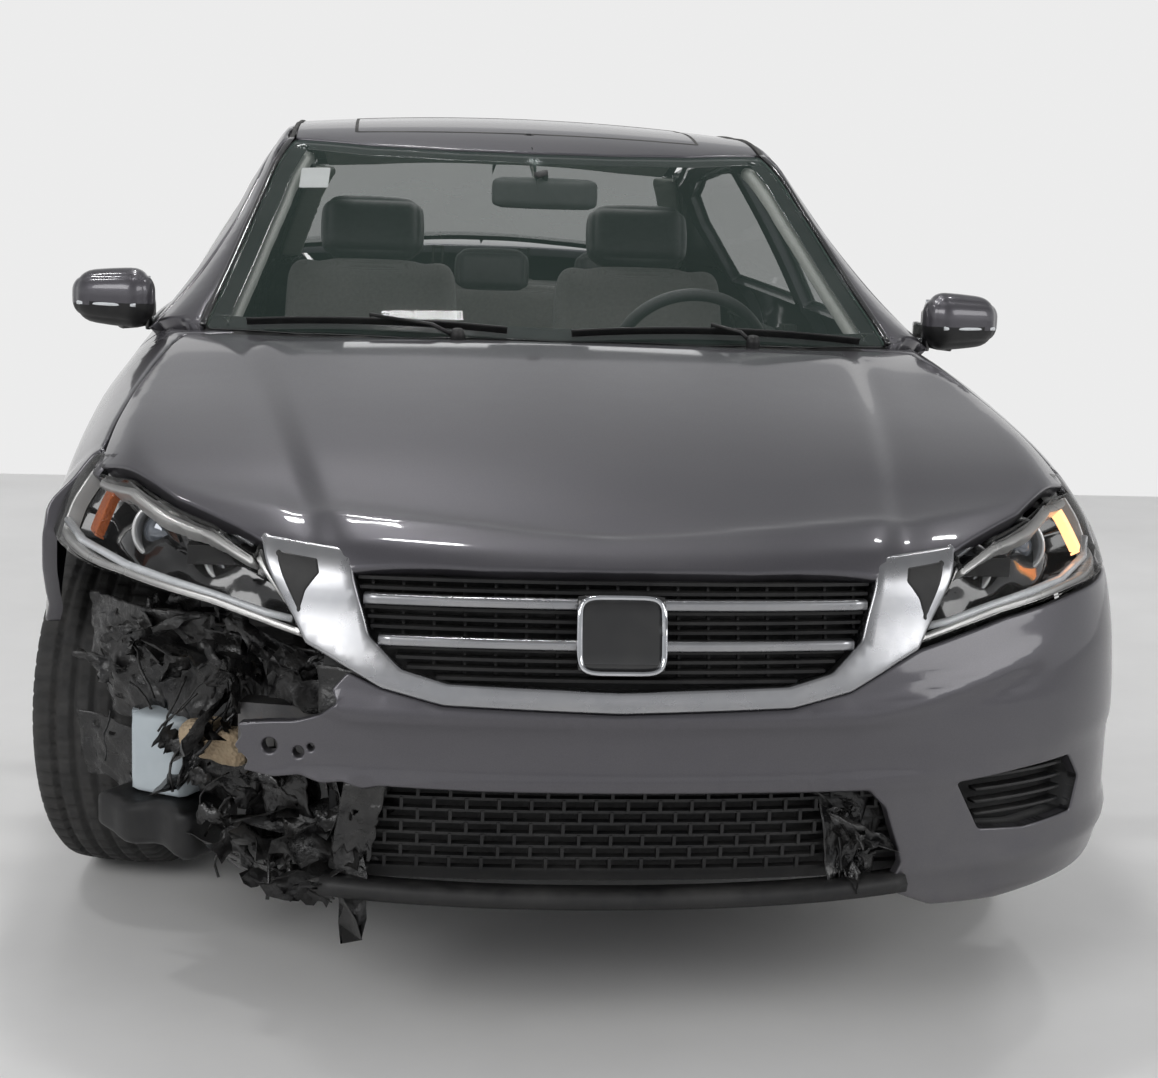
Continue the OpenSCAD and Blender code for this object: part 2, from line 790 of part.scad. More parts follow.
module cowl() {
    color("#18191a")
        shell()
            pair()
                difference() {
                    cowl_half();
                    cowl_slot();
                    block([640, 700], [-1140, -1100], [920, 1000]);
                }
}

module cowl_half() {
    difference() {
        union() {
            intersection() {
                body_wall(0, 72);
                plan_prism([[0, -1262], [250, -1248], [500, -1204], [730, -1138], [706, -1112], [520, -1170],
                    [300, -1214], [0, -1232]], low = 925);
            }
            block([0, 700], [-1250, -1120], [925, 935]);
        }
        plan_prism(hood_outline, grow = shut_gap, low = 936);
        block([0, 1000], [-2000, -1141], [900, 935.5]);
    }
    difference() {
        block([0, 640], [-1240, -1140], [925, 935]);
        plan_prism(windshield_edge, low = 936);
    }
}

column_tilt = 24;
wheel_hub = [370, -600, 900];

// Places its children on the steering column: +Z runs up to the driver.
module on_column() {
    translate([wheel_hub.x * wide, wheel_hub.y * long, wheel_hub.z])
        rotate([column_tilt - 90, 0, 0])
            children();
}

module dashboard() {
    color("#33363a") {
        difference() {
            translate([-735 * wide, 0, 0])
                rotate([90, 0, 90])
                    linear_extrude(1470 * wide)
                        polygon(stretched_side([[-1120, 915], [-1120, 720.3], [-1044.7, 720.3],
                            [-1044.7, 611], [-960, 600], [-880, 640], [-800, 730],
                            [-770, 860], [-800, 915], [-900, 942], [-1040, 940]]));
        }
        block([-120, 120], [-870, -20], [400, 560]);
        on_column()
            translate([0, 0, -190])
                cylinder(h = 160, r = 30);
        on_column()
            translate([0, 0, -60])
                cylinder(h = 70, r = 12);
    }
}

module front_seat(x) {
    translate([x * wide - seat_w / 2, 0, 0]) {
        translate([60, -160 * long, 240])
            cube([seat_w - 120, 380 * long, 110]);
        translate([0, -270 * long, 350])
            cube([seat_w, 540 * long, 150]);
        translate([15, 150 * long, 450])
            rotate([-seat_rake, 0, 0])
                cube([seat_w - 30, 120, 620]);
        translate([seat_w / 2 - 130, 150 * long, 450])
            rotate([-seat_rake, 0, 0])
                translate([0, 10, 660])
                    cube([260, 90, 170]);
        for (side = [-60, 60])
            translate([seat_w / 2 + side, 150 * long, 450])
                rotate([-seat_rake, 0, 0])
                    translate([0, 55, 600])
                        cylinder(h = 80, r = 7);
    }
}

module seats() {
    color("#4a4a4c") {
        front_seat(tunnel_w + 3 + seat_w / 2);
        front_seat(-tunnel_w - 3 - seat_w / 2);
        translate([-640 * wide, 0, 0])
            rotate([90, 0, 90])
                linear_extrude(1280 * wide)
                    polygon(stretched_side([[640, 400.3], [620, 440], [640, 480], [900, 450], [1020, 880],
                        [1060, 930], [1140, 930], [1149, 900], [1149, 400.3]]));
        for (x = [-380, 0, 380]) {
            translate([(x - 110) * wide, 1060 * long, 948])
                cube([220, 75, 130]);
            for (side = [-50, 50])
                translate([x * wide + side, 1100 * long, 925])
                    cylinder(h = 40, r = 6);
        }
    }
}

module interior_mirror() {
    color("#1c1d1f")
        shell() {
            hull()
                for (x = [-85, 131])
                    translate([x * wide, -540 * long, 1275])
                        scale([1, 0.5, 1])
                            sphere(r = 30, $fn = 24);
            intersection() {
                translate([0, 0, -glass_t - 2])
                    union() {
                        cabin_half();
                        mirror([1, 0, 0])
                            cabin_half();
                    }
                bar_z(23, -560, [1275, 1420], 12);
            }
        }
}

module engine_block() {
    color("#5a5c5e")
        block([-380, 250], [-1790, -1245], [260, 800]);
}

module eye(x, z, r, height) {
    difference() {
        children();
        translate([x * wide, front_y, z - 1])
            cylinder(h = height + 2, r = r);
    }
}

pin_r = 12;
fit = 0.06;
lower_z = wheel_z - 128;
upper_z = wheel_z + 126;
arm_t = 26;

// One front suspension arm with its eye at the kingpin.
module front_arm(inner, z) {
    difference() {
        union() {
            translate([inner * wide, front_y - 24, z])
                cube([kingpin_x - inner * wide, 48, arm_t]);
            translate([kingpin_x, front_y, z])
                cylinder(h = arm_t, r = 26);
        }
        translate([kingpin_x, front_y, z - 1])
            cylinder(h = arm_t + 2, r = pin_r + fit);
    }
}

module subframes() {
    color("#2f3032") {
        for (y = [-1700, -1300])
            block([-400, 400], [y, y + 60], [205, 260]);
        pair() {
            block([340, 400], [-1640, -1300], [205, 260]);
            block([400, 440], [-1700, -1660], [205, 400]);
            block([400, 440], [-1280, -1240], [205, 400]);
            front_arm(400, lower_z);
            front_arm(480, upper_z);
            translate([610 * wide, front_y, upper_z + arm_t])
                cylinder(h = 835 - upper_z - arm_t, r = 26);
            translate([610 * wide, front_y, 690])
                cylinder(h = 130, r = 46);
            rear_corner();
        }
        for (y = [rear_y / long - 120, rear_y / long + 80])
            block([-560, 560], [y, y + 60], [290, 320]);
    }
}

// Inner face of the plate that carries a rear wheel.
rear_plate_x = 645;

module rear_corner() {
    translate([560 * wide, rear_y - 120 * long, 290])
        cube([(rear_plate_x - 560) * wide, 260 * long, 30]);
    translate([rear_plate_x * wide, rear_y - 60, 180])
        cube([28, 120, wheel_z + 60 - 180]);
    translate([rear_plate_x * wide, rear_y, wheel_z])
        rotate([0, 90, 0])
            cylinder(h = track_x + 50 - rear_plate_x * wide, r = 20);
}

module exhaust() {
    color("#6b6257") {
        bar_y(0, [-1240, 1730], 245, 26);
        block([-300, 300], [1730, 2000], [200, 290]);
        block([-20, 20], [1800, 1830], [290, 320]);
        bar_y(250, [2000, 2300], 245, 28);
        block([-80, -60], [400, 430], [240, 380]);
        block([-60, -20], [400, 430], [240, 250]);
    }
}

module tanks() {
    color("#b9c6cc") {
        block([150, 640], [660, 1130], [150, 215]);
        difference() {
            block([-750, -630], [-1985, -1878], [300, 432]);
            block([-742, -638], [-1977, -1886], [308, 440]);
        }
        block([-742, -638], [-1977, -1886], [308, 380]);
        block([-632, -480], [-1950, -1925], [405, 432]);
    }
}

module liner(y, inner_r, near, from, to, wall = 36.4) {
    difference() {
        intersection() {
            translate([-wall, 0, -20.4])
                body_half();
            translate([near * wide, y, wheel_z])
                rotate([90, 0, 90])
                    difference() {
                        cylinder(h = 400, r = inner_r + 4);
                        translate([0, 0, -1])
                            cylinder(h = 402, r = inner_r);
                    }
            translate([near * wide, y, wheel_z])
                rotate([90, 0, 90])
                    linear_extrude(400)
                        polygon([[0, 0], for (a = [from : (to - from) / 4 : to]) 700 * [cos(a), sin(a)]]);
        }
        translate([610 * wide, front_y, 400])
            cylinder(h = 500, r = 56);
    }
}

module wheel_liners() {
    color("#161617")
        shell() {
            liner(front_y, 395, 491, -8, 188);
            mirror([1, 0, 0])
                liner(front_y, 395, 491, -8, 128);
            pair()
                liner(rear_y, arch_r + 3, 640, 2, 178, wall = 40.4);
        }
}

module hood() {
    color("#4e4f58") {
        shell()
            difference() {
                intersection() {
                    pair()
                        body_wall(0, lid_t);
                    plan_prism(hood_outline, low = 715);
                }
                pair()
                    lid_hinge_slot(hood_hinge_x, hood_axis, -hood_arm);
            }
        pair()
            lid_hinge_eye(hood_hinge_x, hood_axis, -hood_arm);
    }
}

hood_arm = 90;
deck_arm = 50;

module trunk_lid() {
    color("#4e4f58") {
        shell()
            pair()
                difference() {
                    intersection() {
                        difference() {
                            body_half();
                            translate([0, -lid_t, -lid_t])
                                body_half();
                        }
                        plan_prism(deck_edge, low = 500);
                        side_prism([[1700, 1000], [1700, 1200], [2500, 1200], [2500, 698], [2200, 698], [2200, 1000]]);
                    }
                    lid_hinge_slot(deck_hinge_x, deck_axis, deck_arm);
                }
        pair()
            lid_hinge_eye(deck_hinge_x, deck_axis, deck_arm);
    }
}

// A whole left door: skin and frame, with a thicker inner panel set back from the edges.
module door(outline, glass) {
    difference() {
        union() {
            intersection() {
                body_wall(skin_t, 24);
                side_prism(outline, near = 786);
            }
            intersection() {
                body_wall(door_t, 24);
                side_prism(outline, near = 786, grow = -20);
            }
            intersection() {
                cabin_wall(skin_t, 12);
                side_prism(outline, near = 520);
            }
        }
        side_prism(glass, near = 500);
        block([500, 806], [-1100, 1300], [200, 930]);
        for (z = hinge_heights)
            hinge_pocket(outline[0].x, z);
    }
}

module door_left(outline, glass) {
    color("#4e4f58") {
        shell()
            door(outline, glass);
        for (z = hinge_heights)
            door_hinge_eye(outline[0].x, z);
    }
}

module door_front_left() {
    door_left(front_door_edge, front_glass);
}

module door_rear_left() {
    door_left(rear_door_edge, rear_glass);
}

module door_front_right() {
    mirror([1, 0, 0])
        door_front_left();
}

module door_rear_right() {
    mirror([1, 0, 0])
        door_rear_left();
}

module window(glass) {
    color("#3c4f4c", 0.5)
        shell()
            intersection() {
                translate([-10, 0, -4])
                    cabin_wall(glass_t, 2);
                side_prism(glass, near = 520);
            }
}

module window_front_left() {
    window(front_glass);
}

module window_front_right() {
    mirror([1, 0, 0])
        window(front_glass);
}

module window_rear_left() {
    window(rear_glass);
}

module window_rear_right() {
    mirror([1, 0, 0])
        window(rear_glass);
}

module mirror_left() {
    color("#4e4f58")
        shell()
            difference() {
                union() {
                    hull() {
                        for (p = [[895, -975, 992], [890, -975, 1082], [972, -962, 1070], [975, -960, 992]])
                            translate([p.x * wide, p.y * long, up(p.z)])
                                sphere(r = 26, $fn = 24);
                        translate([934 * wide, -905 * long, up(1034)])
                            cube([130, 10, 116], center = true);
                    }
                    hull() {
                        translate([920 * wide, -960 * long, up(990)])
                            sphere(r = 14, $fn = 24);
                        translate([836 * wide, -950 * long, up(1000)])
                            sphere(r = 18, $fn = 24);
                    }
                }
                body_half();
                cabin_half();
            }
}

module mirror_right() {
    mirror([1, 0, 0])
        mirror_left();
}

module steering_wheel() {
    color("#232426")
        on_column() {
            rotate_extrude($fn = 64)
                translate([178, 0])
                    circle(r = 14, $fn = 24);
            difference() {
                translate([0, 0, -25])
                    cylinder(h = 45, r = 55);
                translate([0, 0, -26])
                    cylinder(h = 36, r = pin_r + fit);
            }
            for (a = [0, 180, 270])
                rotate([0, 0, a + 162])
                    translate([45, -18, -8])
                        cube([130, 36, 12]);
        }
}

// Places its children at a front wheel: the origin is the hub, +X is outwards on the left.
module at_kingpin() {
    translate([kingpin_x, front_y, wheel_z])
        rotate([0, 0, -parked_turn])
            children();
}

module at_right_kingpin() {
    translate([-kingpin_x, front_y, wheel_z])
        rotate([0, 0, -parked_turn])
            mirror([1, 0, 0])
                children();
}

offset_x = track_x - kingpin_x;

module knuckle() {
    color("#6d6a66") {
        translate([0, 0, lower_z - wheel_z + arm_t + 1])
            cylinder(h = upper_z - lower_z - arm_t - 2, r = 24);
        translate([0, 0, lower_z - wheel_z - 6])
            cylinder(h = upper_z - lower_z + arm_t + 12, r = pin_r);
        rotate([0, 90, 0])
            cylinder(h = offset_x + 50, r = 20);
    }
}

module knuckle_left() {
    at_kingpin()
        knuckle();
}

module knuckle_right() {
    at_right_kingpin()
        knuckle();
}

rim_r = rim_d / 2;

// A rim with its hub and brake disc, centred on the wheel, +X outwards.
module rim() {
    color("#9a9c9f")
        rotate([0, 90, 0]) {
            rotate_extrude($fn = 72)
                polygon([[rim_r - 14, -tyre_w / 2 + 6], [rim_r, -tyre_w / 2 + 6], [rim_r, tyre_w / 2 - 6],
                    [rim_r - 14, tyre_w / 2 - 6]]);
            difference() {
                union() {
                    translate([0, 0, -27])
                        cylinder(h = 102, r = 62);
                    translate([0, 0, -24])
                        cylinder(h = 12, r = 148);
                    for (a = [0 : 36 : 324])
                        rotate([0, 0, a])
                            translate([50, -16, 50])
                                cube([rim_r - 60, 32, 22]);
                }
                translate([0, 0, -28])
                    cylinder(h = 83, r = 20 + fit);
            }
        }
}

module tyre() {
    color("#1a1a1b")
        rotate([0, 90, 0])
            rotate_extrude($fn = 72)
                polygon([[rim_r, -tyre_w / 2 + 8], [rim_r + 30, -tyre_w / 2], [tyre_d / 2 - 34, -tyre_w / 2],
                    [tyre_d / 2 - 8, -tyre_w / 2 + 14], [tyre_d / 2, -tyre_w / 2 + 34],
                    [tyre_d / 2, tyre_w / 2 - 34], [tyre_d / 2 - 8, tyre_w / 2 - 14],
                    [tyre_d / 2 - 34, tyre_w / 2], [rim_r + 30, tyre_w / 2], [rim_r, tyre_w / 2 - 8]]);
}

module rim_front_left() {
    at_kingpin()
        translate([offset_x, 0, 0])
            rim();
}

module rim_front_right() {
    at_right_kingpin()
        translate([offset_x, 0, 0])
            rim();
}

module tyre_front_left() {
    at_kingpin()
        translate([offset_x, 0, 0])
            tyre();
}

module tyre_front_right() {
    at_right_kingpin()
        translate([offset_x, 0, 0])
            tyre();
}

module rim_rear_left() {
    translate([track_x, rear_y, wheel_z])
        rim();
}

module rim_rear_right() {
    mirror([1, 0, 0])
        rim_rear_left();
}

module tyre_rear_left() {
    translate([track_x, rear_y, wheel_z])
        tyre();
}

module tyre_rear_right() {
    mirror([1, 0, 0])
        tyre_rear_left();
}

floor_pan();
body_sides();
roof_panel();
windshield();
rear_window();
front_fenders();
front_bumper();
rear_bumper();
bumper_beam();
radiator();
grille();
headlamps();
tail_lamps();
cowl();
dashboard();
seats();
interior_mirror();
engine_block();
subframes();
exhaust();
tanks();
wheel_liners();
hood();
trunk_lid();
door_front_left();
door_front_right();
door_rear_left();
door_rear_right();
window_front_left();
window_front_right();
window_rear_left();
window_rear_right();
mirror_left();
mirror_right();
steering_wheel();
knuckle_left();
knuckle_right();
rim_front_left();
rim_front_right();
rim_rear_left();
rim_rear_right();
tyre_front_left();
tyre_front_right();
tyre_rear_left();
tyre_rear_right();
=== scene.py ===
import math
import random

import bpy
import numpy as np
from mathutils import Matrix, Vector, noise as mnoise
from mathutils.bvhtree import BVHTree
from mathutils.geometry import delaunay_2d_cdt


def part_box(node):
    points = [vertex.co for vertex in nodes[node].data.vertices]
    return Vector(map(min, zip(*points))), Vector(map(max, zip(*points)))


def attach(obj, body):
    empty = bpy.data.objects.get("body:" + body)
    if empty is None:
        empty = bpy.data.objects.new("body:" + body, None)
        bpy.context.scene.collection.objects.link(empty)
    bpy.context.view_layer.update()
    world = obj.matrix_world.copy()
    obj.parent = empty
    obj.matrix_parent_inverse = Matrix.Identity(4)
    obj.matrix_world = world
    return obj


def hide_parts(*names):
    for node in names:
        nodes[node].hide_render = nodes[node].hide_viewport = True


random.seed(7)
np.random.seed(7)
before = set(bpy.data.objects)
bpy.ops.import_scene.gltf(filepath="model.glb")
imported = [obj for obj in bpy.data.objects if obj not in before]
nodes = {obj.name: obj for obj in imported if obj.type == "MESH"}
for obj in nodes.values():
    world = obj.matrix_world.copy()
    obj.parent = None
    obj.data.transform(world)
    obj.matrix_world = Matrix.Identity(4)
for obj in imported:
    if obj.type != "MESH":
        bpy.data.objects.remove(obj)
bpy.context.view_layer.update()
scene = bpy.context.scene

# ---------------------------------------------------------------- body shape, millimetres
PLAN = np.array([[0, -2435], [260, -2425], [500, -2385], [700, -2305], [848, -2178], [902, -1985],
    [916, -1760], [922, -1500], [922, -1200], [918, -850], [918, -450], [920, 0], [922, 450],
    [924, 850], [925, 1200], [920, 1500], [905, 1780], [870, 2040], [790, 2240], [600, 2365],
    [310, 2420], [0, 2435]], float)
LAST = len(PLAN) - 1
CTRL = np.vstack([[-260, -2425], PLAN, [-310, 2420], [-600, 2365]])
SECTIONS = [
    [0, [[70, 185], [25, 215], [20, 290], [8, 420], [0, 540], [12, 610], [40, 680], [60, 730], [80, 752],
         [150, 786]]],
    [2, [[60, 190], [18, 225], [12, 300], [6, 430], [0, 540], [14, 610], [42, 680], [56, 740], [84, 780],
         [150, 812]]],
    [4, [[45, 205], [8, 260], [2, 330], [4, 440], [2, 540], [8, 610], [22, 680], [48, 745], [90, 800],
         [140, 836]]],
    [5, [[55, 205], [14, 260], [2, 330], [2, 440], [0, 540], [4, 620], [17, 700], [35, 760], [80, 828],
         [140, 878]]],
    [6.5, [[60, 200], [25, 280], [10, 380], [0, 500], [-2, 600], [2, 700], [12, 770], [40, 835], [85, 885],
           [145, 926]]],
    [8, [[60, 200], [27, 300], [10, 400], [2, 500], [-2, 600], [0, 700], [10, 800], [32, 880], [84, 940],
         [165, 988]]],
    [9.5, [[60, 200], [27, 300], [10, 400], [2, 500], [-2, 600], [0, 700], [10, 800], [32, 900], [54, 950],
           [82, 985]]],
    [13, [[60, 200], [27, 300], [10, 400], [2, 500], [-2, 600], [-1, 700], [8, 810], [28, 905], [50, 955],
          [80, 998]]],
    [15, [[62, 205], [30, 300], [8, 400], [0, 500], [-3, 600], [-2, 700], [5, 820], [24, 920], [52, 980],
          [100, 1024]]],
    [17, [[64, 210], [30, 300], [8, 400], [0, 500], [2, 600], [8, 700], [18, 820], [36, 920], [66, 995],
          [130, 1058]]],
    [18.5, [[70, 215], [20, 300], [0, 420], [0, 520], [10, 620], [26, 740], [38, 840], [50, 930],
            [72, 1010], [130, 1066]]],
    [21, [[70, 215], [20, 300], [0, 420], [0, 520], [8, 600], [60, 700], [75, 800], [80, 900], [76, 1010],
          [92, 1088]]]]
SPINE = np.array([[-2435, 700], [-2361, 750], [-2285, 786], [-2200, 816], [-2000, 870], [-1800, 912],
    [-1600, 946], [-1400, 976], [-1240, 998], [-1100, 1006], [1650, 1030], [1780, 1074],
    [2000, 1096], [2250, 1106], [2435, 1098]], float)
CABIN_TOP = np.array([[-1400, 890], [-1240, 1000], [-1000, 1110], [-800, 1212], [-600, 1308], [-450, 1374],
    [-350, 1406], [-250, 1429], [-100, 1450], [150, 1464], [300, 1466], [500, 1462], [700, 1448],
    [950, 1410], [1150, 1356], [1350, 1278], [1550, 1192], [1750, 1106], [1850, 1063], [2000, 1000]], float)
RAIL = np.array([[-1400, 765], [-1110, 735], [-900, 692], [-700, 650], [-500, 612], [-340, 588], [0, 580],
    [800, 572], [1150, 592], [1450, 640], [1780, 700], [2000, 722]], float)
BELT = np.array([[-1400, 800], [-1000, 838], [-600, 846], [1300, 846], [1700, 800], [2000, 770]], float)
SWEEP, CROWN, BELT_Z, CABIN_BASE = 130, 30, 985, 900


def kernel(sigma, step):
    n = max(1, int(3 * sigma / step))
    k = np.exp(-0.5 * (np.arange(-n, n + 1) * step / sigma) ** 2)
    return k / k.sum()


def smooth_table(table, sigma):
    """A table of (x, value) as a function, rounded off over sigma."""
    xs = np.arange(table[0, 0] - 400, table[-1, 0] + 400, 5.0)
    slope0 = (table[1, 1] - table[0, 1]) / (table[1, 0] - table[0, 0])
    slope1 = (table[-1, 1] - table[-2, 1]) / (table[-1, 0] - table[-2, 0])
    v = np.interp(xs, table[:, 0], table[:, 1])
    v = np.where(xs < table[0, 0], table[0, 1] + (xs - table[0, 0]) * slope0, v)
    v = np.where(xs > table[-1, 0], table[-1, 1] + (xs - table[-1, 0]) * slope1, v)
    k = kernel(sigma, 5.0)
    pad = len(k) // 2
    v = np.convolve(np.pad(v, pad, mode="edge"), k, mode="valid")
    return lambda q: np.interp(q, xs, v)


spine = smooth_table(SPINE, 110)
cabin_top = smooth_table(CABIN_TOP, 70)
rail = smooth_table(RAIL, 110)
belt = smooth_table(BELT, 90)


def plan_at(u):
    i = np.minimum(np.floor(u).astype(int), LAST)
    f = (u - i)[:, None]
    c = CTRL
    g = np.minimum(i + 3, len(c) - 1)
    return (c[i] * (1 - f) ** 3 + c[i + 1] * (3 * f ** 3 - 6 * f ** 2 + 4)
            + c[i + 2] * (-3 * f ** 3 + 3 * f ** 2 + 3 * f + 1) + c[g] * f ** 3) / 6


def section_rows(u):
    out = np.zeros((len(u), 10, 2))
    for n, q in enumerate(u):
        i = 0
        while i < len(SECTIONS) - 2 and q >= SECTIONS[i + 1][0]:
            i += 1
        a, b = SECTIONS[i], SECTIONS[i + 1]
        t = min(max((q - a[0]) / (b[0] - a[0]), 0), 1)
        t = t * t * (3 - 2 * t)
        out[n] = np.array(a[1]) * (1 - t) + np.array(b[1]) * t
    return out


def even_rings(rings, count, sigma):
    """Rings of points, resampled evenly and rounded off over sigma millimetres."""
    out = []
    for ring in rings:
        seg = np.linalg.norm(np.diff(ring, axis=0), axis=1)
        s = np.concatenate([[0], np.cumsum(seg)])
        q = np.linspace(0, s[-1], count)
        p = np.stack([np.interp(q, s, ring[:, k]) for k in range(3)], 1)
        k = kernel(sigma, q[1])
        pad = len(k) // 2
        head = 2 * p[0] - p[1:pad + 1][::-1]
        tail = p[-pad - 1:-1][::-1] * np.array([-1, 1, 1])
        e = np.vstack([head, p, tail])
        out.append(np.stack([np.convolve(e[:, c], k, mode="valid") for c in range(3)], 1))
    return np.array(out)


def body_rings():
    u = np.concatenate([[0.0], np.arange(0.05, LAST, 0.05), [LAST]])
    p = plan_at(u)
    d = plan_at(np.minimum(u + 0.05, LAST)) - plan_at(np.maximum(u - 0.05, 0))
    nrm = np.stack([d[:, 1], -d[:, 0]], 1) / np.linalg.norm(d, axis=1)[:, None]
    rows = section_rows(u)
    k = kernel(0.55, 0.05)
    pad = len(k) // 2
    wide = np.concatenate([rows[1:pad + 1][::-1], rows, rows[-pad - 1:-1][::-1]])
    rows = np.stack([[np.convolve(wide[:, i, j], k, mode="valid") for j in range(2)]
                     for i in range(10)]).transpose(2, 0, 1)
    rings = []
    for n in range(len(u)):
        xy = p[n][None, :] - nrm[n][None, :] * rows[n][:, :1]
        side = np.column_stack([xy, rows[n][:, 1]])
        edge = side[-1]
        t = np.linspace(0, 1, 22)[1:]
        top = spine(edge[1])
        lid = np.column_stack([edge[0] * (1 - t), np.full(len(t), edge[1]),
                               edge[2] + (top - edge[2]) * np.sin(t * math.pi / 2)])
        rings.append(np.vstack([side, lid]))
    return even_rings(rings, 150, 14)


def cabin_rings():
    ys = np.arange(-1340, 1851, 15.0)
    rings = []
    for y in ys:
        rx, bx = rail(y), belt(y)

        def top(x):
            ahead = np.clip((y - 200) / 800, -1, 1)
            drop = CROWN * np.clip((y + 400) / 400, 0, 1) * (x / 600) ** 2
            return np.maximum(cabin_top(y + ahead * SWEEP * (x / 720) ** 2) - drop, CABIN_BASE + 20)
        rz = top(rx)
        lz = min(BELT_Z - 10, rz - 10)
        t = np.linspace(0, 1, 24)[:-1]
        side = np.column_stack([bx + (rx - bx) * t + 14 * np.sin(t * math.pi), np.full(len(t), y),
                                lz + (rz - lz) * t])
        x = rx * (1 - np.linspace(0, 1, 40))
        rings.append(np.vstack([side, np.column_stack([x, np.full(40, y), top(x)])]))
    return even_rings(rings, 110, 11)


def grid_faces(n, m):
    i, j = np.meshgrid(np.arange(n - 1), np.arange(m - 1), indexing="ij")
    a = (i * m + j).ravel()
    return np.stack([a, a + 1, a + m + 1, a + m], 1)


BODY = body_rings() / 1000
CABIN = cabin_rings() / 1000


def both_sides(grid):
    n, m, _ = grid.shape
    v = grid.reshape(-1, 3)
    f = grid_faces(n, m)
    w = v * np.array([-1, 1, 1])
    return np.vstack([v, w]), np.vstack([f, f[:, ::-1] + len(v)])


def tree(*grids):
    vs, fs, base = [], [], 0
    for g in grids:
        v, f = both_sides(g)
        vs.append(v)
        fs.append(f + base)
        base += len(v)
    v = np.vstack(vs)
    return BVHTree.FromPolygons([Vector(p) for p in v], np.vstack(fs).tolist())


T_BODY = tree(BODY)
T_CABIN = tree(CABIN)
T_ALL = tree(BODY, CABIN)


# ---------------------------------------------------------------- projections: 2-D outline <-> 3-D surface
class Side:
    """(y, z) seen from one side of the car."""
    def __init__(self, sign=1, surface=None, inset=0.0):
        self.sign, self.surface, self.inset = sign, surface or T_ALL, inset

    def put(self, p):
        hit = self.surface.ray_cast(Vector((1.5 * self.sign, p[0], p[1])), Vector((-self.sign, 0, 0)))
        if hit[0] is None:
            hit = self.surface.find_nearest(Vector((0.9 * self.sign, p[0], p[1])))
        n = hit[1] if hit[1].x * self.sign > 0 else -hit[1]
        return hit[0] - n * self.inset, n


class Top:
    """(x, y) seen from above."""
    def __init__(self, surface=None, inset=0.0):
        self.surface, self.inset = surface or T_ALL, inset

    def put(self, p):
        hit = self.surface.ray_cast(Vector((p[0], p[1], 2)), Vector((0, 0, -1)))
        if hit[0] is None:
            hit = self.surface.find_nearest(Vector((p[0], p[1], 1.0)))
        n = hit[1] if hit[1].z > 0 else -hit[1]
        return hit[0] - n * self.inset, n


class Oblique:
    """(x, w) seen from above and behind (sign 1) or above and ahead (sign -1)."""
    def __init__(self, sign=1, surface=None, inset=0.0, tilt=45.0):
        self.surface, self.inset = surface or T_BODY, inset
        a = math.radians(tilt)
        self.d = Vector((0, -sign * math.sin(a), -math.cos(a)))
        self.w = Vector((0, -sign * math.cos(a), math.sin(a)))

    def flat(self, x, y, z):
        return (x, self.w.y * y + self.w.z * z)

    def put(self, p):
        o = Vector((p[0], 0, 0)) + self.w * p[1]
        hit = self.surface.ray_cast(o - self.d * 6, self.d)
        if hit[0] is None:
            hit = self.surface.find_nearest(o - self.d * 1.2)
        n = hit[1] if hit[1].dot(self.d) < 0 else -hit[1]
        return hit[0] - n * self.inset, n


class Round:
    """(angle, z) seen from an upright line inside the nose or the tail."""
    def __init__(self, y, sign=-1, surface=None, inset=0.0):
        self.y, self.sign, self.surface, self.inset = y, sign, surface or T_BODY, inset

    def flat(self, x, y, z):
        return (math.atan2(x, (y - self.y) * self.sign), z)

    def put(self, p):
        d = Vector((math.sin(p[0]), self.sign * math.cos(p[0]), 0))
        o = Vector((0, self.y, p[1]))
        hit = self.surface.ray_cast(o + d * 2, -d, 2.0)
        if hit[0] is None:
            hit = self.surface.find_nearest(o + d * 0.8)
        n = hit[1] if hit[1].dot(d) > 0 else -hit[1]
        return hit[0] - n * self.inset, n


NOSE = Round(-1.70, -1)
TAIL = Round(1.75, 1)


def front_flat(x, z):
    """The (angle, z) of the nose point seen straight ahead at (x, z)."""
    hit = T_BODY.ray_cast(Vector((x, -4, z)), Vector((0, 1, 0)))
    y = hit[0].y if hit[0] is not None else -1.9
    return NOSE.flat(x, y, z)


def rear_flat(x, z):
    hit = T_BODY.ray_cast(Vector((x, 4, z)), Vector((0, -1, 0)))
    y = hit[0].y if hit[0] is not None else 1.95
    return TAIL.flat(x, y, z)


def side_flat(proj, y, z, sign=1):
    hit = T_BODY.ray_cast(Vector((1.5 * sign, y, z)), Vector((-sign, 0, 0)))
    return proj.flat(hit[0].x, y, z)


# ---------------------------------------------------------------- outlines
def mm(points):
    return [(a / 1000, b / 1000) for a, b in points]


def dense(points, step=0.012, corner=0.012, closed=True):
    """An outline with its corners rounded and points every step."""
    pts = [Vector((a, b)) for a, b in points]
    n = len(pts)
    out = []
    for i in range(n):
        p = pts[i]
        if not closed and i in (0, n - 1):
            out.append(p)
            continue
        a, b = pts[i - 1], pts[(i + 1) % n]
        da, db = (a - p), (b - p)
        r = min(corner, da.length * 0.45, db.length * 0.45)
        q0, q1 = p + da.normalized() * r, p + db.normalized() * r
        for k in range(5):
            t = k / 4
            out.append(q0 * (1 - t) ** 2 + p * 2 * t * (1 - t) + q1 * t * t)
    res = []
    m = len(out)
    for i in range(m if closed else m - 1):
        a, b = out[i], out[(i + 1) % m]
        k = max(1, int(round((b - a).length / step)))
        for j in range(k):
            res.append(a + (b - a) * j / k)
    if not closed:
        res.append(out[-1])
    clean = [res[0]]
    for p in res[1:]:
        if (p - clean[-1]).length > 1e-4:
            clean.append(p)
    if closed and (clean[0] - clean[-1]).length < 1e-4:
        clean.pop()
    return clean


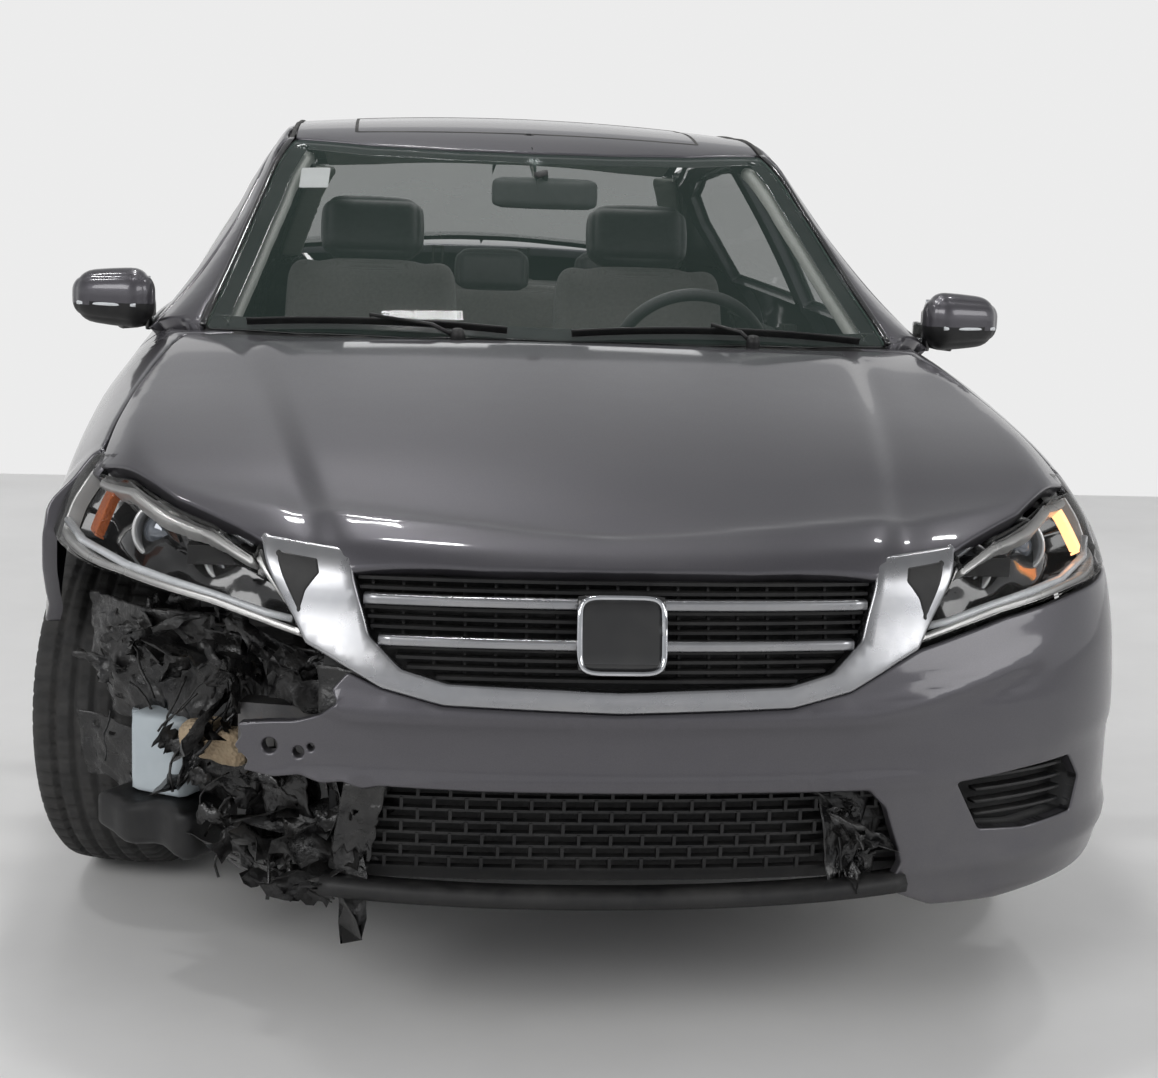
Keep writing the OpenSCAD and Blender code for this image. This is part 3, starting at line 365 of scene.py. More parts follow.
def area(pts):
    return sum(a.x * b.y - b.x * a.y for a, b in zip(pts, pts[1:] + pts[:1])) / 2


def offset_in(pts, d):
    """Each point of a counter-clockwise outline moved inwards by d."""
    n = len(pts)
    out = []
    for i in range(n):
        t = (pts[(i + 1) % n] - pts[i - 1])
        nrm = Vector((-t.y, t.x)).normalized()
        out.append(pts[i] + nrm * d)
    return out


def inside_many(poly, px, py):
    c = np.zeros(len(px), bool)
    n = len(poly)
    for i in range(n):
        a, b = poly[i], poly[i - 1]
        cross = (a[1] > py) != (b[1] > py)
        if not cross.any():
            continue
        xi = (b[0] - a[0]) * (py - a[1]) / ((b[1] - a[1]) or 1e-12) + a[0]
        c ^= cross & (px < xi)
    return c


def triangulate(loops, spacing, scale=1.0):
    """Loops of nested rings: loops[0] is a list of rings of the outer outline, the rest of the holes."""
    verts, edges, deep = [], [], []
    for rings in loops:
        for k, ring in enumerate(rings):
            base = len(verts)
            verts += ring
            deep += [ROLL[min(k, len(ROLL) - 1)]] * len(ring)
            edges += [(base + i, base + (i + 1) % len(ring)) for i in range(len(ring))]
    outer = loops[0][0]
    inner = loops[0][-1]
    xs = [p[0] for p in outer]
    ys = [p[1] for p in outer]
    sx = spacing * scale
    gx, gy = np.meshgrid(np.arange(min(xs) + sx / 2, max(xs), sx), np.arange(min(ys) + spacing / 2,
            max(ys), spacing), indexing="ij")
    gx = gx + (np.arange(gx.shape[1]) % 2)[None, :] * sx / 2
    px, py = gx.ravel(), gy.ravel()
    keep = inside_many([(p[0], p[1]) for p in inner], px, py)
    for rings in loops[1:]:
        keep &= ~inside_many([(p[0], p[1]) for p in rings[-1]], px, py)
    px, py = px[keep], py[keep]
    allp = np.array([(p[0] / scale, p[1]) for rings in loops for ring in rings for p in ring])
    near = np.ones(len(px), bool)
    for lo in range(0, len(px), 2000):
        d = np.hypot(px[lo:lo + 2000, None] / scale - allp[None, :, 0], py[lo:lo + 2000, None] - allp[None,
                :, 1]).min(1)
        near[lo:lo + 2000] = d > spacing * 0.45
    verts += [Vector((a, b)) for a, b in zip(px[near], py[near])]
    deep += [1.0] * int(near.sum())
    v, _, f, source, *_ = delaunay_2d_cdt([Vector((p[0], p[1])) for p in verts], edges, [], 0, 1e-6)
    deep = [min([deep[i] for i in src] or [1.0]) for src in source]
    cx = np.array([sum(v[i].x for i in t) / len(t) for t in f])
    cy = np.array([sum(v[i].y for i in t) / len(t) for t in f])
    ok = inside_many([(p[0], p[1]) for p in outer], cx, cy)
    for rings in loops[1:]:
        ok &= ~inside_many([(p[0], p[1]) for p in rings[0]], cx, cy)
    return v, [list(t) for t, k in zip(f, ok) if k], deep


def new_mesh(name, verts, faces, mat=None, smooth=True):
    me = bpy.data.meshes.new(name)
    me.from_pydata([tuple(v) for v in verts], [], [list(f) for f in faces])
    me.update()
    if smooth:
        me.polygons.foreach_set("use_smooth", [True] * len(me.polygons))
    o = bpy.data.objects.new(name, me)
    scene.collection.objects.link(o)
    if mat:
        me.materials.append(mat)
    return o


ROLL = [0.0, 0.0006, 0.0018, 0.0034, 0.0055]


def panel(name, outline, proj, mat, depth=0.018, holes=(), spacing=0.016, step=0.012, corner=0.012,
          roll=0.0045, push=None, scale=1.0, back=True):
    """A sheet panel on the body surface with rolled edges and a folded-back flange."""
    def rings(pts, sign):
        pts = dense(pts, step, corner)
        if area(pts) * sign < 0:
            pts = pts[::-1]
        if scale == 1.0:
            return [pts] + [offset_in(pts, d) for d in ROLL[1:]]
        wide = [Vector((p.x / scale, p.y)) for p in pts]
        return [[Vector((p.x * scale, p.y)) for p in (wide if d == 0 else offset_in(wide, d))] for d in ROLL]
    loops = [rings(outline, 1)] + [rings(h, -1) for h in holes]
    v, f, deep = triangulate(loops, spacing, scale)
    out, normals = [], []
    for p, d in zip(v, deep):
        q, n = proj.put(p)
        if push is not None:
            q = q + n * push(q)
        if d < roll:
            t = 1 - d / roll
            q = q - n * (roll * (1 - math.sqrt(max(0.0, 1 - t * t))))
        out.append(q)
        normals.append(n)
    faces = [list(t) for t in f]
    a, b, c = (out[i] for i in faces[0][:3])
    if (b - a).cross(c - a).dot(normals[faces[0][0]]) < 0:
        faces = [t[::-1] for t in faces]
    if back:
        edge_use = {}
        for t in faces:
            for i in range(len(t)):
                e = (t[i], t[(i + 1) % len(t)])
                edge_use[e] = edge_use.get(e, 0) + 1
        rim = [e for e in edge_use if (e[1], e[0]) not in edge_use]
        low = {}
        for e in rim:
            for i in e:
                if i not in low:
                    low[i] = len(out)
                    out.append(out[i] - normals[i] * depth)
        for i, j in rim:
            faces.append([j, i, low[i], low[j]])
    return new_mesh(name, out, faces, mat)


def mirrored(o, name):
    me = o.data.copy()
    me.name = name
    co = np.empty(len(me.vertices) * 3)
    me.vertices.foreach_get("co", co)
    co[0::3] *= -1
    me.vertices.foreach_set("co", co)
    me.flip_normals()
    r = bpy.data.objects.new(name, me)
    scene.collection.objects.link(r)
    return r


# ---------------------------------------------------------------- materials
def _link(t, a, b):
    t.links.new(a, b)


def surface(name, color, color2=None, scale=40.0, rough=(0.4, 0.6), metallic=0.0, coat=0.0, coat_rough=0.05,
            bump=0.0, bump_scale=300.0, bump_kind="noise", dust=0.0,
            dust_color=(0.30, 0.29, 0.275), dust_scale=6.0, sheen=0.0, spec=0.5, ior=1.5, wear=None, low=0.0):
    """A node material: varied colour and roughness, fine relief, and dust on what faces up."""
    m = bpy.data.materials.new(name)
    m.use_nodes = True
    t = m.node_tree
    t.nodes.clear()
    out = t.nodes.new("ShaderNodeOutputMaterial")
    bsdf = t.nodes.new("ShaderNodeBsdfPrincipled")
    _link(t, bsdf.outputs[0], out.inputs[0])
    co = t.nodes.new("ShaderNodeTexCoord").outputs["Object"]

    def noise(sc, detail=4, rough_=0.55):
        n = t.nodes.new("ShaderNodeTexNoise")
        n.inputs["Scale"].default_value = sc
        n.inputs["Detail"].default_value = detail
        n.inputs["Roughness"].default_value = rough_
        _link(t, co, n.inputs["Vector"])
        return n.outputs["Fac"]

    def ramp(src, a, b, ca=0.0, cb=1.0):
        r = t.nodes.new("ShaderNodeMapRange")
        r.inputs["From Min"].default_value = a
        r.inputs["From Max"].default_value = b
        r.inputs["To Min"].default_value = ca
        r.inputs["To Max"].default_value = cb
        _link(t, src, r.inputs["Value"])
        return r.outputs["Result"]

    def mix(fac, a, b):
        x = t.nodes.new("ShaderNodeMix")
        x.data_type = "RGBA"
        _link(t, fac, x.inputs["Factor"])
        for sock, v in ((x.inputs[6], a), (x.inputs[7], b)):
            if isinstance(v, tuple):
                sock.default_value = (*v, 1.0)
            else:
                _link(t, v, sock)
        return x.outputs[2]

    def calc(operation, *values):
        x = t.nodes.new("ShaderNodeMath")
        x.operation = operation
        for sock, v in zip(x.inputs, values):
            if isinstance(v, float):
                sock.default_value = v
            else:
                _link(t, v, sock)
        return x.outputs[0]
    color2 = color2 or tuple(c * 0.7 for c in color)
    base = mix(ramp(noise(scale), 0.3, 0.7), color, color2)
    rgh = ramp(noise(scale * 0.6, 6), 0.3, 0.7, rough[0], rough[1])
    if wear:
        amount, wear_color = wear
        k = ramp(noise(scale * 2.3, 8, 0.7), 0.66 - amount * 0.2, 0.72)
        base = mix(k, base, wear_color)
    if dust > 0:
        geo = t.nodes.new("ShaderNodeNewGeometry")
        sep = t.nodes.new("ShaderNodeSeparateXYZ")
        _link(t, geo.outputs["Normal"], sep.inputs[0])
        up = ramp(sep.outputs["Z"], -0.2, 0.9, 0.35, 1.0)
        patches = ramp(noise(dust_scale, 7, 0.62), 0.38, 0.72, 0.0, dust)
        fac = calc("MULTIPLY", up, patches)
        if low > 0:
            pos = t.nodes.new("ShaderNodeSeparateXYZ")
            _link(t, co, pos.inputs[0])
            down = ramp(pos.outputs["Z"], 0.55, 0.15, 0.0, low)
            fac = calc("MULTIPLY_ADD", down, ramp(noise(dust_scale * 3, 8), 0.35, 0.65), fac)
        base = mix(fac, base, dust_color)
        rgh = calc("MULTIPLY_ADD", fac, 0.5, rgh)
        rgh.node.use_clamp = True
    _link(t, base, bsdf.inputs["Base Color"])
    _link(t, rgh, bsdf.inputs["Roughness"])
    bsdf.inputs["Metallic"].default_value = metallic
    bsdf.inputs["IOR"].default_value = ior
    bsdf.inputs["Specular IOR Level"].default_value = spec
    bsdf.inputs["Coat Weight"].default_value = coat
    bsdf.inputs["Coat Roughness"].default_value = coat_rough
    bsdf.inputs["Sheen Weight"].default_value = sheen
    if bump > 0:
        if bump_kind == "noise":
            h = noise(bump_scale, 3)
        elif bump_kind == "weave":
            w = []
            for axis in ("X", "Y", "Z"):
                n = t.nodes.new("ShaderNodeTexWave")
                n.bands_direction = axis
                n.inputs["Scale"].default_value = bump_scale
                n.inputs["Distortion"].default_value = 0.4
                _link(t, co, n.inputs["Vector"])
                w.append(n.outputs["Fac"])
            h = calc("ADD", calc("ADD", w[0], w[1]), w[2])
        else:
            n = t.nodes.new("ShaderNodeTexVoronoi")
            n.inputs["Scale"].default_value = bump_scale
            _link(t, co, n.inputs["Vector"])
            h = n.outputs["Distance"]
        b = t.nodes.new("ShaderNodeBump")
        b.inputs["Strength"].default_value = 1.0
        b.inputs["Distance"].default_value = bump
        _link(t, h, b.inputs["Height"])
        _link(t, b.outputs[0], bsdf.inputs["Normal"])
    m.diffuse_color = (*color, 1)
    return m


def glass(name, color, alpha=0.2, ior=2.0, rough=0.02, dust=0.04):
    m = surface(name, color, color2=tuple(c * 0.85 for c in color), scale=5, rough=(rough, rough + 0.02),
                ior=ior,
                dust=dust, dust_scale=4.0)
    t = m.node_tree
    bsdf = next(n for n in t.nodes if n.type == "BSDF_PRINCIPLED")
    lw = t.nodes.new("ShaderNodeLayerWeight")
    lw.inputs["Blend"].default_value = 0.14
    r = t.nodes.new("ShaderNodeMapRange")
    r.inputs["To Min"].default_value = alpha
    r.inputs["To Max"].default_value = 0.75
    _link(t, lw.outputs["Fresnel"], r.inputs["Value"])
    _link(t, r.outputs[0], bsdf.inputs["Alpha"])
    return m


M_PAINT = surface("paint", (0.088, 0.084, 0.096), (0.068, 0.065, 0.074), scale=900, rough=(0.34, 0.42),
                  metallic=0.7,
                  coat=0.8, coat_rough=0.06, dust=0.10, dust_scale=5.0, low=0.2, dust_color=(0.16, 0.155,
                          0.15))
M_BLACK = surface("black_plastic", (0.007, 0.007, 0.008), (0.012, 0.012, 0.012), scale=60,
                  rough=(0.34, 0.5), bump=0.0004,
                  bump_scale=900, dust=0.10, dust_scale=9, spec=0.35)
M_DARK = surface("underbody", (0.014, 0.014, 0.015), (0.028, 0.027, 0.025), scale=12, rough=(0.55, 0.85),
                 bump=0.001,
                 bump_scale=90, dust=0.35, dust_scale=7)
M_GLOSS = surface("gloss_black", (0.006, 0.006, 0.007), (0.010, 0.010, 0.010), scale=30,
                  rough=(0.08, 0.16), coat=0.6,
                  dust=0.06)
M_RUBBER = surface("rubber", (0.012, 0.012, 0.012), (0.022, 0.022, 0.021), scale=45, rough=(0.6, 0.8),
                   bump=0.0003,
                   bump_scale=700, dust=0.3)
M_CHROME = surface("chrome", (0.62, 0.63, 0.65), (0.52, 0.53, 0.55), scale=20, rough=(0.05, 0.14),
                   metallic=1.0,
                   dust=0.05)
M_SATIN = surface("satin_silver", (0.42, 0.43, 0.44), (0.34, 0.345, 0.35), scale=35, rough=(0.22, 0.34),
                  metallic=0.9,
                  dust=0.08)
M_STEEL = surface("steel", (0.09, 0.09, 0.095), (0.13, 0.125, 0.12), scale=18, rough=(0.38, 0.6),
                  metallic=0.8,
                  bump=0.0004, bump_scale=250, dust=0.2, wear=(0.3, (0.14, 0.075, 0.045)))
M_IRON = surface("iron", (0.12, 0.12, 0.125), (0.08, 0.08, 0.08), scale=25, rough=(0.5, 0.75),
                 metallic=0.6, bump=0.0012,
                 bump_scale=300, dust=0.2)
M_TRIM = surface("trim", (0.060, 0.063, 0.062), (0.048, 0.050, 0.050), scale=50, rough=(0.55, 0.7),
                 bump=0.0003,
                 bump_scale=1400, bump_kind="cells", dust=0.06)
M_PALE = surface("pale_trim", (0.42, 0.43, 0.40), (0.38, 0.39, 0.365), scale=40, rough=(0.6, 0.8),
                 bump=0.0002,
                 bump_scale=1500, dust=0.05)
M_CLOTH = surface("fabric", (0.17, 0.16, 0.15), (0.13, 0.122, 0.115), scale=120, rough=(0.8, 0.95),
                  bump=0.0005,
                  bump_scale=420, bump_kind="weave", sheen=0.35)
M_LEATHER = surface("leather", (0.018, 0.018, 0.019), (0.026, 0.026, 0.027), scale=90, rough=(0.42, 0.56),
                    bump=0.0003,
                    bump_scale=1100, bump_kind="cells")
M_TYRE = surface("tyre", (0.016, 0.016, 0.0165), (0.028, 0.027, 0.026), scale=30, rough=(0.62, 0.85),
                 bump=0.0005,
                 bump_scale=350, dust=0.3, dust_scale=14, dust_color=(0.12, 0.115, 0.105))
M_RIM = surface("alloy", (0.34, 0.345, 0.35), (0.27, 0.272, 0.275), scale=28, rough=(0.28, 0.42),
                metallic=0.85, coat=0.4,
                dust=0.22, dust_color=(0.10, 0.095, 0.09))
M_TANK = surface("tank", (0.46, 0.51, 0.54), (0.36, 0.41, 0.44), scale=8, rough=(0.35, 0.5), spec=0.5,
                 dust=0.25)
M_FOAM = surface("foam", (0.46, 0.36, 0.24), (0.34, 0.25, 0.16), scale=30, rough=(0.85, 0.98), bump=0.003,
                 bump_scale=160,
                 bump_kind="cells", dust=0.2)
M_TORN = surface("torn_liner", (0.006, 0.006, 0.007), (0.012, 0.0115, 0.011), scale=22, rough=(0.16, 0.42),
                 bump=0.002,
                 bump_scale=120, dust=0.12, dust_scale=16)
M_GREY = surface("grey_plastic", (0.10, 0.10, 0.105), (0.075, 0.075, 0.078), scale=40, rough=(0.5, 0.65),
                 dust=0.15)
M_AMBER = surface("amber", (0.46, 0.11, 0.015), (0.34, 0.07, 0.01), scale=200, rough=(0.12, 0.25),
                  coat=0.5, bump=0.0012,
                  bump_scale=260, bump_kind="cells")
M_MIRROR = surface("mirror_glass", (0.8, 0.82, 0.84), (0.74, 0.76, 0.78), scale=6, rough=(0.01, 0.04),
                   metallic=1.0, dust=0.05)
M_WIND = glass("windscreen", (0.16, 0.24, 0.21), alpha=0.10, ior=1.5)
M_WINDOW = glass("side_glass", (0.06, 0.10, 0.085), alpha=0.16, ior=1.6)
M_LENS = glass("lens", (0.16, 0.16, 0.155), alpha=0.03, ior=1.5, dust=0.01)
M_RED = glass("red_lens", (0.36, 0.008, 0.010), alpha=0.72, ior=1.6)
M_PLATE = surface("blank_plate", (0.55, 0.56, 0.56), (0.50, 0.51, 0.51), scale=30, rough=(0.4, 0.55),
                  dust=0.12)


def glow(name, color, strength):
    m = surface(name, color, scale=60, rough=(0.2, 0.35))
    b = next(n for n in m.node_tree.nodes if n.type == "BSDF_PRINCIPLED")
    b.inputs["Emission Color"].default_value = (*color, 1)
    b.inputs["Emission Strength"].default_value = strength
    return m


M_GLOW = glow("lit_amber", (1.0, 0.50, 0.22), 1.9)
M_LED = surface("led_strip", (0.72, 0.74, 0.76), (0.6, 0.62, 0.64), scale=90, rough=(0.12, 0.25), coat=0.6)

NODE_MATS = {"floor_pan": M_DARK, "bumper_beam": M_STEEL, "radiator": M_BLACK, "grille": M_BLACK,
             "cowl": M_BLACK, "engine_block": M_IRON, "subframes": M_STEEL, "exhaust": M_STEEL,
             "tanks": M_TANK, "wheel_liners": M_TORN, "knuckle_left": M_STEEL, "knuckle_right": M_STEEL,
             "steering_wheel": M_LEATHER, "dashboard": M_TRIM,
             "seats": M_CLOTH, "interior_mirror": M_TRIM, "mirror_left": M_BLACK, "mirror_right": M_BLACK,
             "headlamps": M_GREY, "tail_lamps": M_RED, "windshield": M_WIND, "rear_window": M_WIND}
KIND_MATS = {"tyre": M_TYRE, "rim": M_RIM, "window": M_WINDOW}
for n, o in nodes.items():
    m = NODE_MATS.get(n) or KIND_MATS.get(n.split("_")[0], M_PAINT)
    o.data.materials.clear()
    o.data.materials.append(m)


def add(o, body="root", *swap, slot=None):
    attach(o, body)
    if swap:
        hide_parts(*swap)
    return o


def pair(o, body="root", *swap, slot=None, same=False):
    """A left piece and its mirror image, which takes the swaps too if same is set; the slot argument is not used.
    """
    add(o, body, *swap, slot=slot)
    twin = mirrored(o, o.name.replace("_left", "_right"))
    right = [n.replace("left", "right") for n in swap] if same else []
    return add(twin, body.replace("left", "right"), *right, slot=slot if same else None)


# ---------------------------------------------------------------- panels
HOOD = [(0, -2356), (200, -2354), (397, -2340), (523, -2286), (660, -2168), (800, -1985),
    (797, -1800), (786, -1600), (768, -1400), (738, -1150), (500, -1218), (250, -1261), (0, -1275)]
SHIELD = [(0, -1232), (300, -1214), (520, -1170), (706, -1112), (640, -740), (596, -490), (560, -350),
    (380, -412), (190, -445), (0, -455)]
ROOF = [(0, -447), (190, -437), (380, -404), (560, -340), (560, -200), (560, 300), (552, 800), (550, 1010),
    (400, 1052), (200, 1074), (0, 1080)]
BACKLIGHT = [(0, 1088), (200, 1082), (400, 1060), (550, 1018), (640, 1350), (694, 1680), (500, 1738),
             (250, 1764), (0, 1770)]
DOOR_F = [(-1002, 305), (-1014, 450), (-1016, 640), (-1000, 820), (-985, 985), (-650, 1190), (-450, 1300),
    (-305, 1358), (-50, 1390), (190, 1396), (196, 1200), (190, 985), (184, 640), (184, 305)]
DOOR_R = [(192, 305), (192, 640), (198, 985), (204, 1200), (198, 1396), (500, 1392), (800, 1370),
          (1010, 1320),
    (1150, 1210), (1222, 1080), (1236, 985), (1214, 880), (1150, 760), (1040, 662), (970, 560),
    (926, 440), (912, 305)]
GLASS_F = [(-905, 992), (-640, 1150), (-450, 1255), (-310, 1318), (-50, 1356), (148, 1362), (150, 1200),
           (146, 1004)]
GLASS_R = [(246, 1005), (250, 1200), (246, 1362), (500, 1358), (790, 1336), (980, 1288), (1090, 1200),
           (1150, 1090),
    (1166, 1022)]


def whole(half):
    pts = mm(half)
    return pts + [(-x, y) for x, y in pts[::-1] if x > 1e-6]


def top_z(x, y, surf=None):
    return Top(surf).put((x, y))[0].z


def crease(q):
    """Raised middle of the hood between two feature lines, faded out towards the front and rear edges."""
    t = min(max((q.y + 2.36) / 1.1, 0.0), 1.0)
    line = 0.405 + 0.19 * t ** 0.8
    d = line - abs(q.x)
    h = 0.0065 / (1 + math.exp(-max(min(d / 0.007, 30), -30)))
    h -= 0.0035 * math.exp(-((d + 0.02) / 0.028) ** 2)
    return h * min(1.0, max(0.0, (q.y + 2.35) / 0.05 + 0.35)) * min(1.0, max(0.0, (-1.22 - q.y) / 0.08))


hood = panel("hood_skin", whole(HOOD), Top(T_BODY), M_PAINT, depth=0.022, push=crease, spacing=0.015)
add(hood, "hood", "hood", slot="paint")
roof = panel("roof_skin", whole(ROOF), Top(T_CABIN), M_PAINT, depth=0.016, spacing=0.03)
add(roof, "root", "roof_panel", slot="paint")

ARCH = 0.366


def arc(cy, a0, a1, r=ARCH, cz=0.334, steps=22):
    return [(cy + r * math.cos(math.radians(a0 + (a1 - a0) * k / steps)),
             cz + r * math.sin(math.radians(a0 + (a1 - a0) * k / steps))) for k in range(steps + 1)]


def hood_x(y):
    pts = [(p[1], p[0]) for p in HOOD[5:10]]
    return float(np.interp(y * 1000, [p[0] for p in pts], [p[1] for p in pts])) / 1000


fender = [(y, top_z(hood_x(y) + 0.006, y, T_BODY)) for y in np.linspace(-1.155, -1.99, 14)]
fender += [(-1.985, 0.866), (-1.893, 0.851), (-1.931, 0.716), (-1.868, 0.636), (-1.800, 0.560)]
fender += arc(-1.470, 148, 4)
fender += [(-1.108, 0.300), (-1.100, 0.215), (-1.012, 0.203), (-1.016, 0.440), (-1.028, 0.640),
           (-1.012, 0.820),
    (-0.994, 0.984), (-1.060, 1.004)]


def lip(cy):
    """A small rolled flare round a wheel arch."""
    def f(q):
        d = math.hypot(q.y - cy, q.z - 0.334) - ARCH
        return 0.007 * math.exp(-(d / 0.020) ** 2) - 0.002 * math.exp(-((d - 0.045) / 0.02) ** 2)
    return f


fl = panel("fender_left", fender, Side(1, T_BODY), M_PAINT, depth=0.020, spacing=0.014, push=lip(-1.470))
add(fl, "root", "front_fenders", slot="paint")


def hinge_bend(me):
    for v in me.vertices:
        x, y, z = v.co
        if y < -1.76 and z < 0.86:
            k = min(1.0, (-1.76 - y) / 0.17)
            low_k = min(1.0, max(0.0, (0.87 - z) / 0.12))
            v.co.x -= 0.020 * k * k * low_k
            v.co.z -= 0.004 * k * math.sin(z * 40)
            v.co.x += 0.004 * k * math.sin(y * 70 + z * 50) * low_k


fr = mirrored(fl, "fender_right")
hinge_bend(fr.data)
add(fr, "root", slot="paint")

door_front = panel("door_skin_front_left", mm(DOOR_F), Side(1), M_PAINT, depth=0.030, holes=[mm(GLASS_F)],
                   spacing=0.016)
pair(door_front, "door_front_left", "door_front_left", slot="paint", same=True)
door_rear = panel("door_skin_rear_left", mm(DOOR_R), Side(1), M_PAINT, depth=0.030, holes=[mm(GLASS_R)],
                  spacing=0.016)
pair(door_rear, "door_rear_left", "door_rear_left", slot="paint", same=True)

# the body side: sill, quarter panel, pillars and roof rail in one pressing
side = [(-1.004, 0.200), (-0.6, 0.198), (0.3, 0.198), (0.930, 0.203)]
side += arc(1.306, 199, 18)
side += [(1.660, 0.500), (1.700, 0.660), (1.900, 0.690), (2.040, 0.700), (2.052, 0.790)]
side += [(2.052, 0.968), (2.090, 0.990)]
for y in (2.08, 1.99, 1.90, 1.79):
    x = float(np.interp(y, [1.78, 1.90, 2.08], [0.686, 0.680, 0.664])) + 0.006
    side.append((y, top_z(x, y, T_BODY)))
for x, y in ((0.700, 1.685), (0.646, 1.352), (0.556, 1.020), (0.558, 0.80), (0.566, 0.30), (0.566, -0.20),
             (0.566, -0.338),
             (0.602, -0.490), (0.646, -0.740), (0.684, -0.96), (0.712, -1.112)):
    side.append((y, top_z(x, y, T_CABIN)))
side += [(-1.060, 1.008), (-0.995, 0.992)]
grown = [(-0.652, 1.196), (-0.452, 1.306), (-0.307, 1.3635), (-0.05, 1.3955), (0.195, 1.4015), (0.5, 1.3975),
    (0.802, 1.3755), (1.013, 1.3250), (1.155, 1.2135), (1.2275, 1.082), (1.2415, 0.985),
    (1.2195, 0.878), (1.154, 0.755),
    (1.044, 0.657), (0.975, 0.557), (0.931, 0.438), (0.917, 0.300), (-1.004, 0.300)]
side += grown
bs = panel("body_side_left", side, Side(1), M_PAINT, depth=0.030, spacing=0.017, corner=0.008,
           push=lip(1.306))
add(bs, "root", "body_sides", slot="paint")
add(mirrored(bs, "body_side_right"), "root", slot="paint")
# trunk lid: deck and rear face in one
LID = Oblique(1)
deck = [(0, 1.800), (0.640, 1.800), (0.686, 1.782), (0.680, 1.900), (0.664, 2.080), (0.640, 2.200)]
lid = [LID.flat(x, y, top_z(x, y, T_BODY)) for x, y in deck]
for x, z in ((0.628, 1.02), (0.585, 0.940), (0.583, 0.800), (0.560, 0.715), (0.30, 0.702), (0, 0.700)):
    hit = T_BODY.ray_cast(Vector((x, 4, z)), Vector((0, -1, 0)))
    lid.append(LID.flat(x, hit[0].y, z))
lid = lid + [(-a, b) for a, b in lid[::-1] if a > 1e-6]
tl = panel("trunk_lid_skin", lid, LID, M_PAINT, depth=0.024, spacing=0.018)
add(tl, "trunk_lid", "trunk_lid", slot="paint")

# glazing
ws = panel("windshield_glass", whole(SHIELD), Top(T_CABIN, inset=0.002), M_WIND, depth=0.004, spacing=0.03,
           roll=0.001)
add(ws, "root", "windshield", slot="glass")
rw = panel("rear_window_glass", whole(BACKLIGHT), Top(T_CABIN, inset=0.002), M_WIND, depth=0.004,
           spacing=0.03, roll=0.001)
add(rw, "root", "rear_window", slot="glass")


def shrink(pts, d):
    q = [Vector(p) for p in pts]
    if area(q) < 0:
        q = q[::-1]
    return [tuple(p) for p in offset_in(q, d)]


def band(name, outline, width, proj, mat, **k):
    ring = dense(outline, 0.02, 0.012)
    if area(ring) < 0:
        ring = ring[::-1]
    inner = offset_in(ring, width)
    return panel(name, outline, proj, mat, holes=[[tuple(p) for p in inner]], roll=0.0008, **k)


add(band("windshield_border", whole(SHIELD), 0.042, Top(T_CABIN, inset=0.0065), M_GLOSS, depth=0.001,
         spacing=0.03))
add(band("rear_window_border", whole(BACKLIGHT), 0.035, Top(T_CABIN, inset=0.0065), M_GLOSS, depth=0.001,
         spacing=0.03))
for tag, g in (("front", GLASS_F), ("rear", GLASS_R)):
    out = shrink(mm(g), -0.008)
    w = panel(f"window_pane_{tag}_left", out, Side(1, T_CABIN, inset=0.009), M_WINDOW, depth=0.004,
              spacing=0.03, roll=0.001)
    pair(w, f"door_{tag}_left", f"window_{tag}_left", slot="glass", same=True)
    f = band(f"window_seal_{tag}_left", out, 0.018, Side(1, T_CABIN, inset=0.0045), M_RUBBER, depth=0.004,
             spacing=0.03)
    pair(f, f"door_{tag}_left")


# ---------------------------------------------------------------- helpers for detail pieces
def join_arrays(parts):
    vs, fs, base = [], [], 0
    for v, f in parts:
        vs += [tuple(p) for p in v]
        fs += [[i + base for i in t] for t in f]
        base += len(v)
    return vs, fs


def basis(axis):
    z = Vector(axis).normalized()
    x = z.cross(Vector((0, 0, 1)) if abs(z.z) < 0.9 else Vector((1, 0, 0))).normalized()
    return x, z.cross(x), z


def lathe_arrays(profile, origin, axis, seg=48):
    x, y, z = basis(axis)
    o = Vector(origin)
    v, f = [], []
    for r, h in profile:
        for k in range(seg):
            a = 2 * math.pi * k / seg
            v.append(o + z * h + (x * math.cos(a) + y * math.sin(a)) * r)
    for i in range(len(profile) - 1):
        for k in range(seg):
            j = (k + 1) % seg
            f.append([i * seg + k, i * seg + j, (i + 1) * seg + j, (i + 1) * seg + k])
    return v, f


def lathe(name, profile, origin, axis, mat, seg=48):
    v, f = lathe_arrays(profile, origin, axis, seg)
    return new_mesh(name, v, f, mat)


def sweep_arrays(path, section, up=Vector((0, 0, 1)), closed=False, caps=True):
    """A flat section swept along a path; section points are (sideways, upwards)."""
    path = [Vector(p) for p in path]
    n, m = len(path), len(section)
    v, f = [], []
    for i, p in enumerate(path):
        a = path[i - 1] if i or closed else path[0]
        b = path[(i + 1) % n] if i < n - 1 or closed else path[-1]
        d = (b - a).normalized()
        u = up if isinstance(up, Vector) else up[i]
        s = d.cross(u).normalized()
        w = s.cross(d).normalized()
        for q in section:
            v.append(p + s * q[0] + w * q[1])
    for i in range(n if closed else n - 1):
        j = (i + 1) % n
        for k in range(m):
            l = (k + 1) % m
            f.append([i * m + k, i * m + l, j * m + l, j * m + k])
    if caps and not closed:
        f.append(list(range(m))[::-1])
        f.append([(n - 1) * m + k for k in range(m)])
    return v, f


def ring_section(r, sides=10, rx=None):
    return [((rx or r) * math.cos(2 * math.pi * k / sides), r * math.sin(2 * math.pi * k / sides))
            for k in range(sides)]


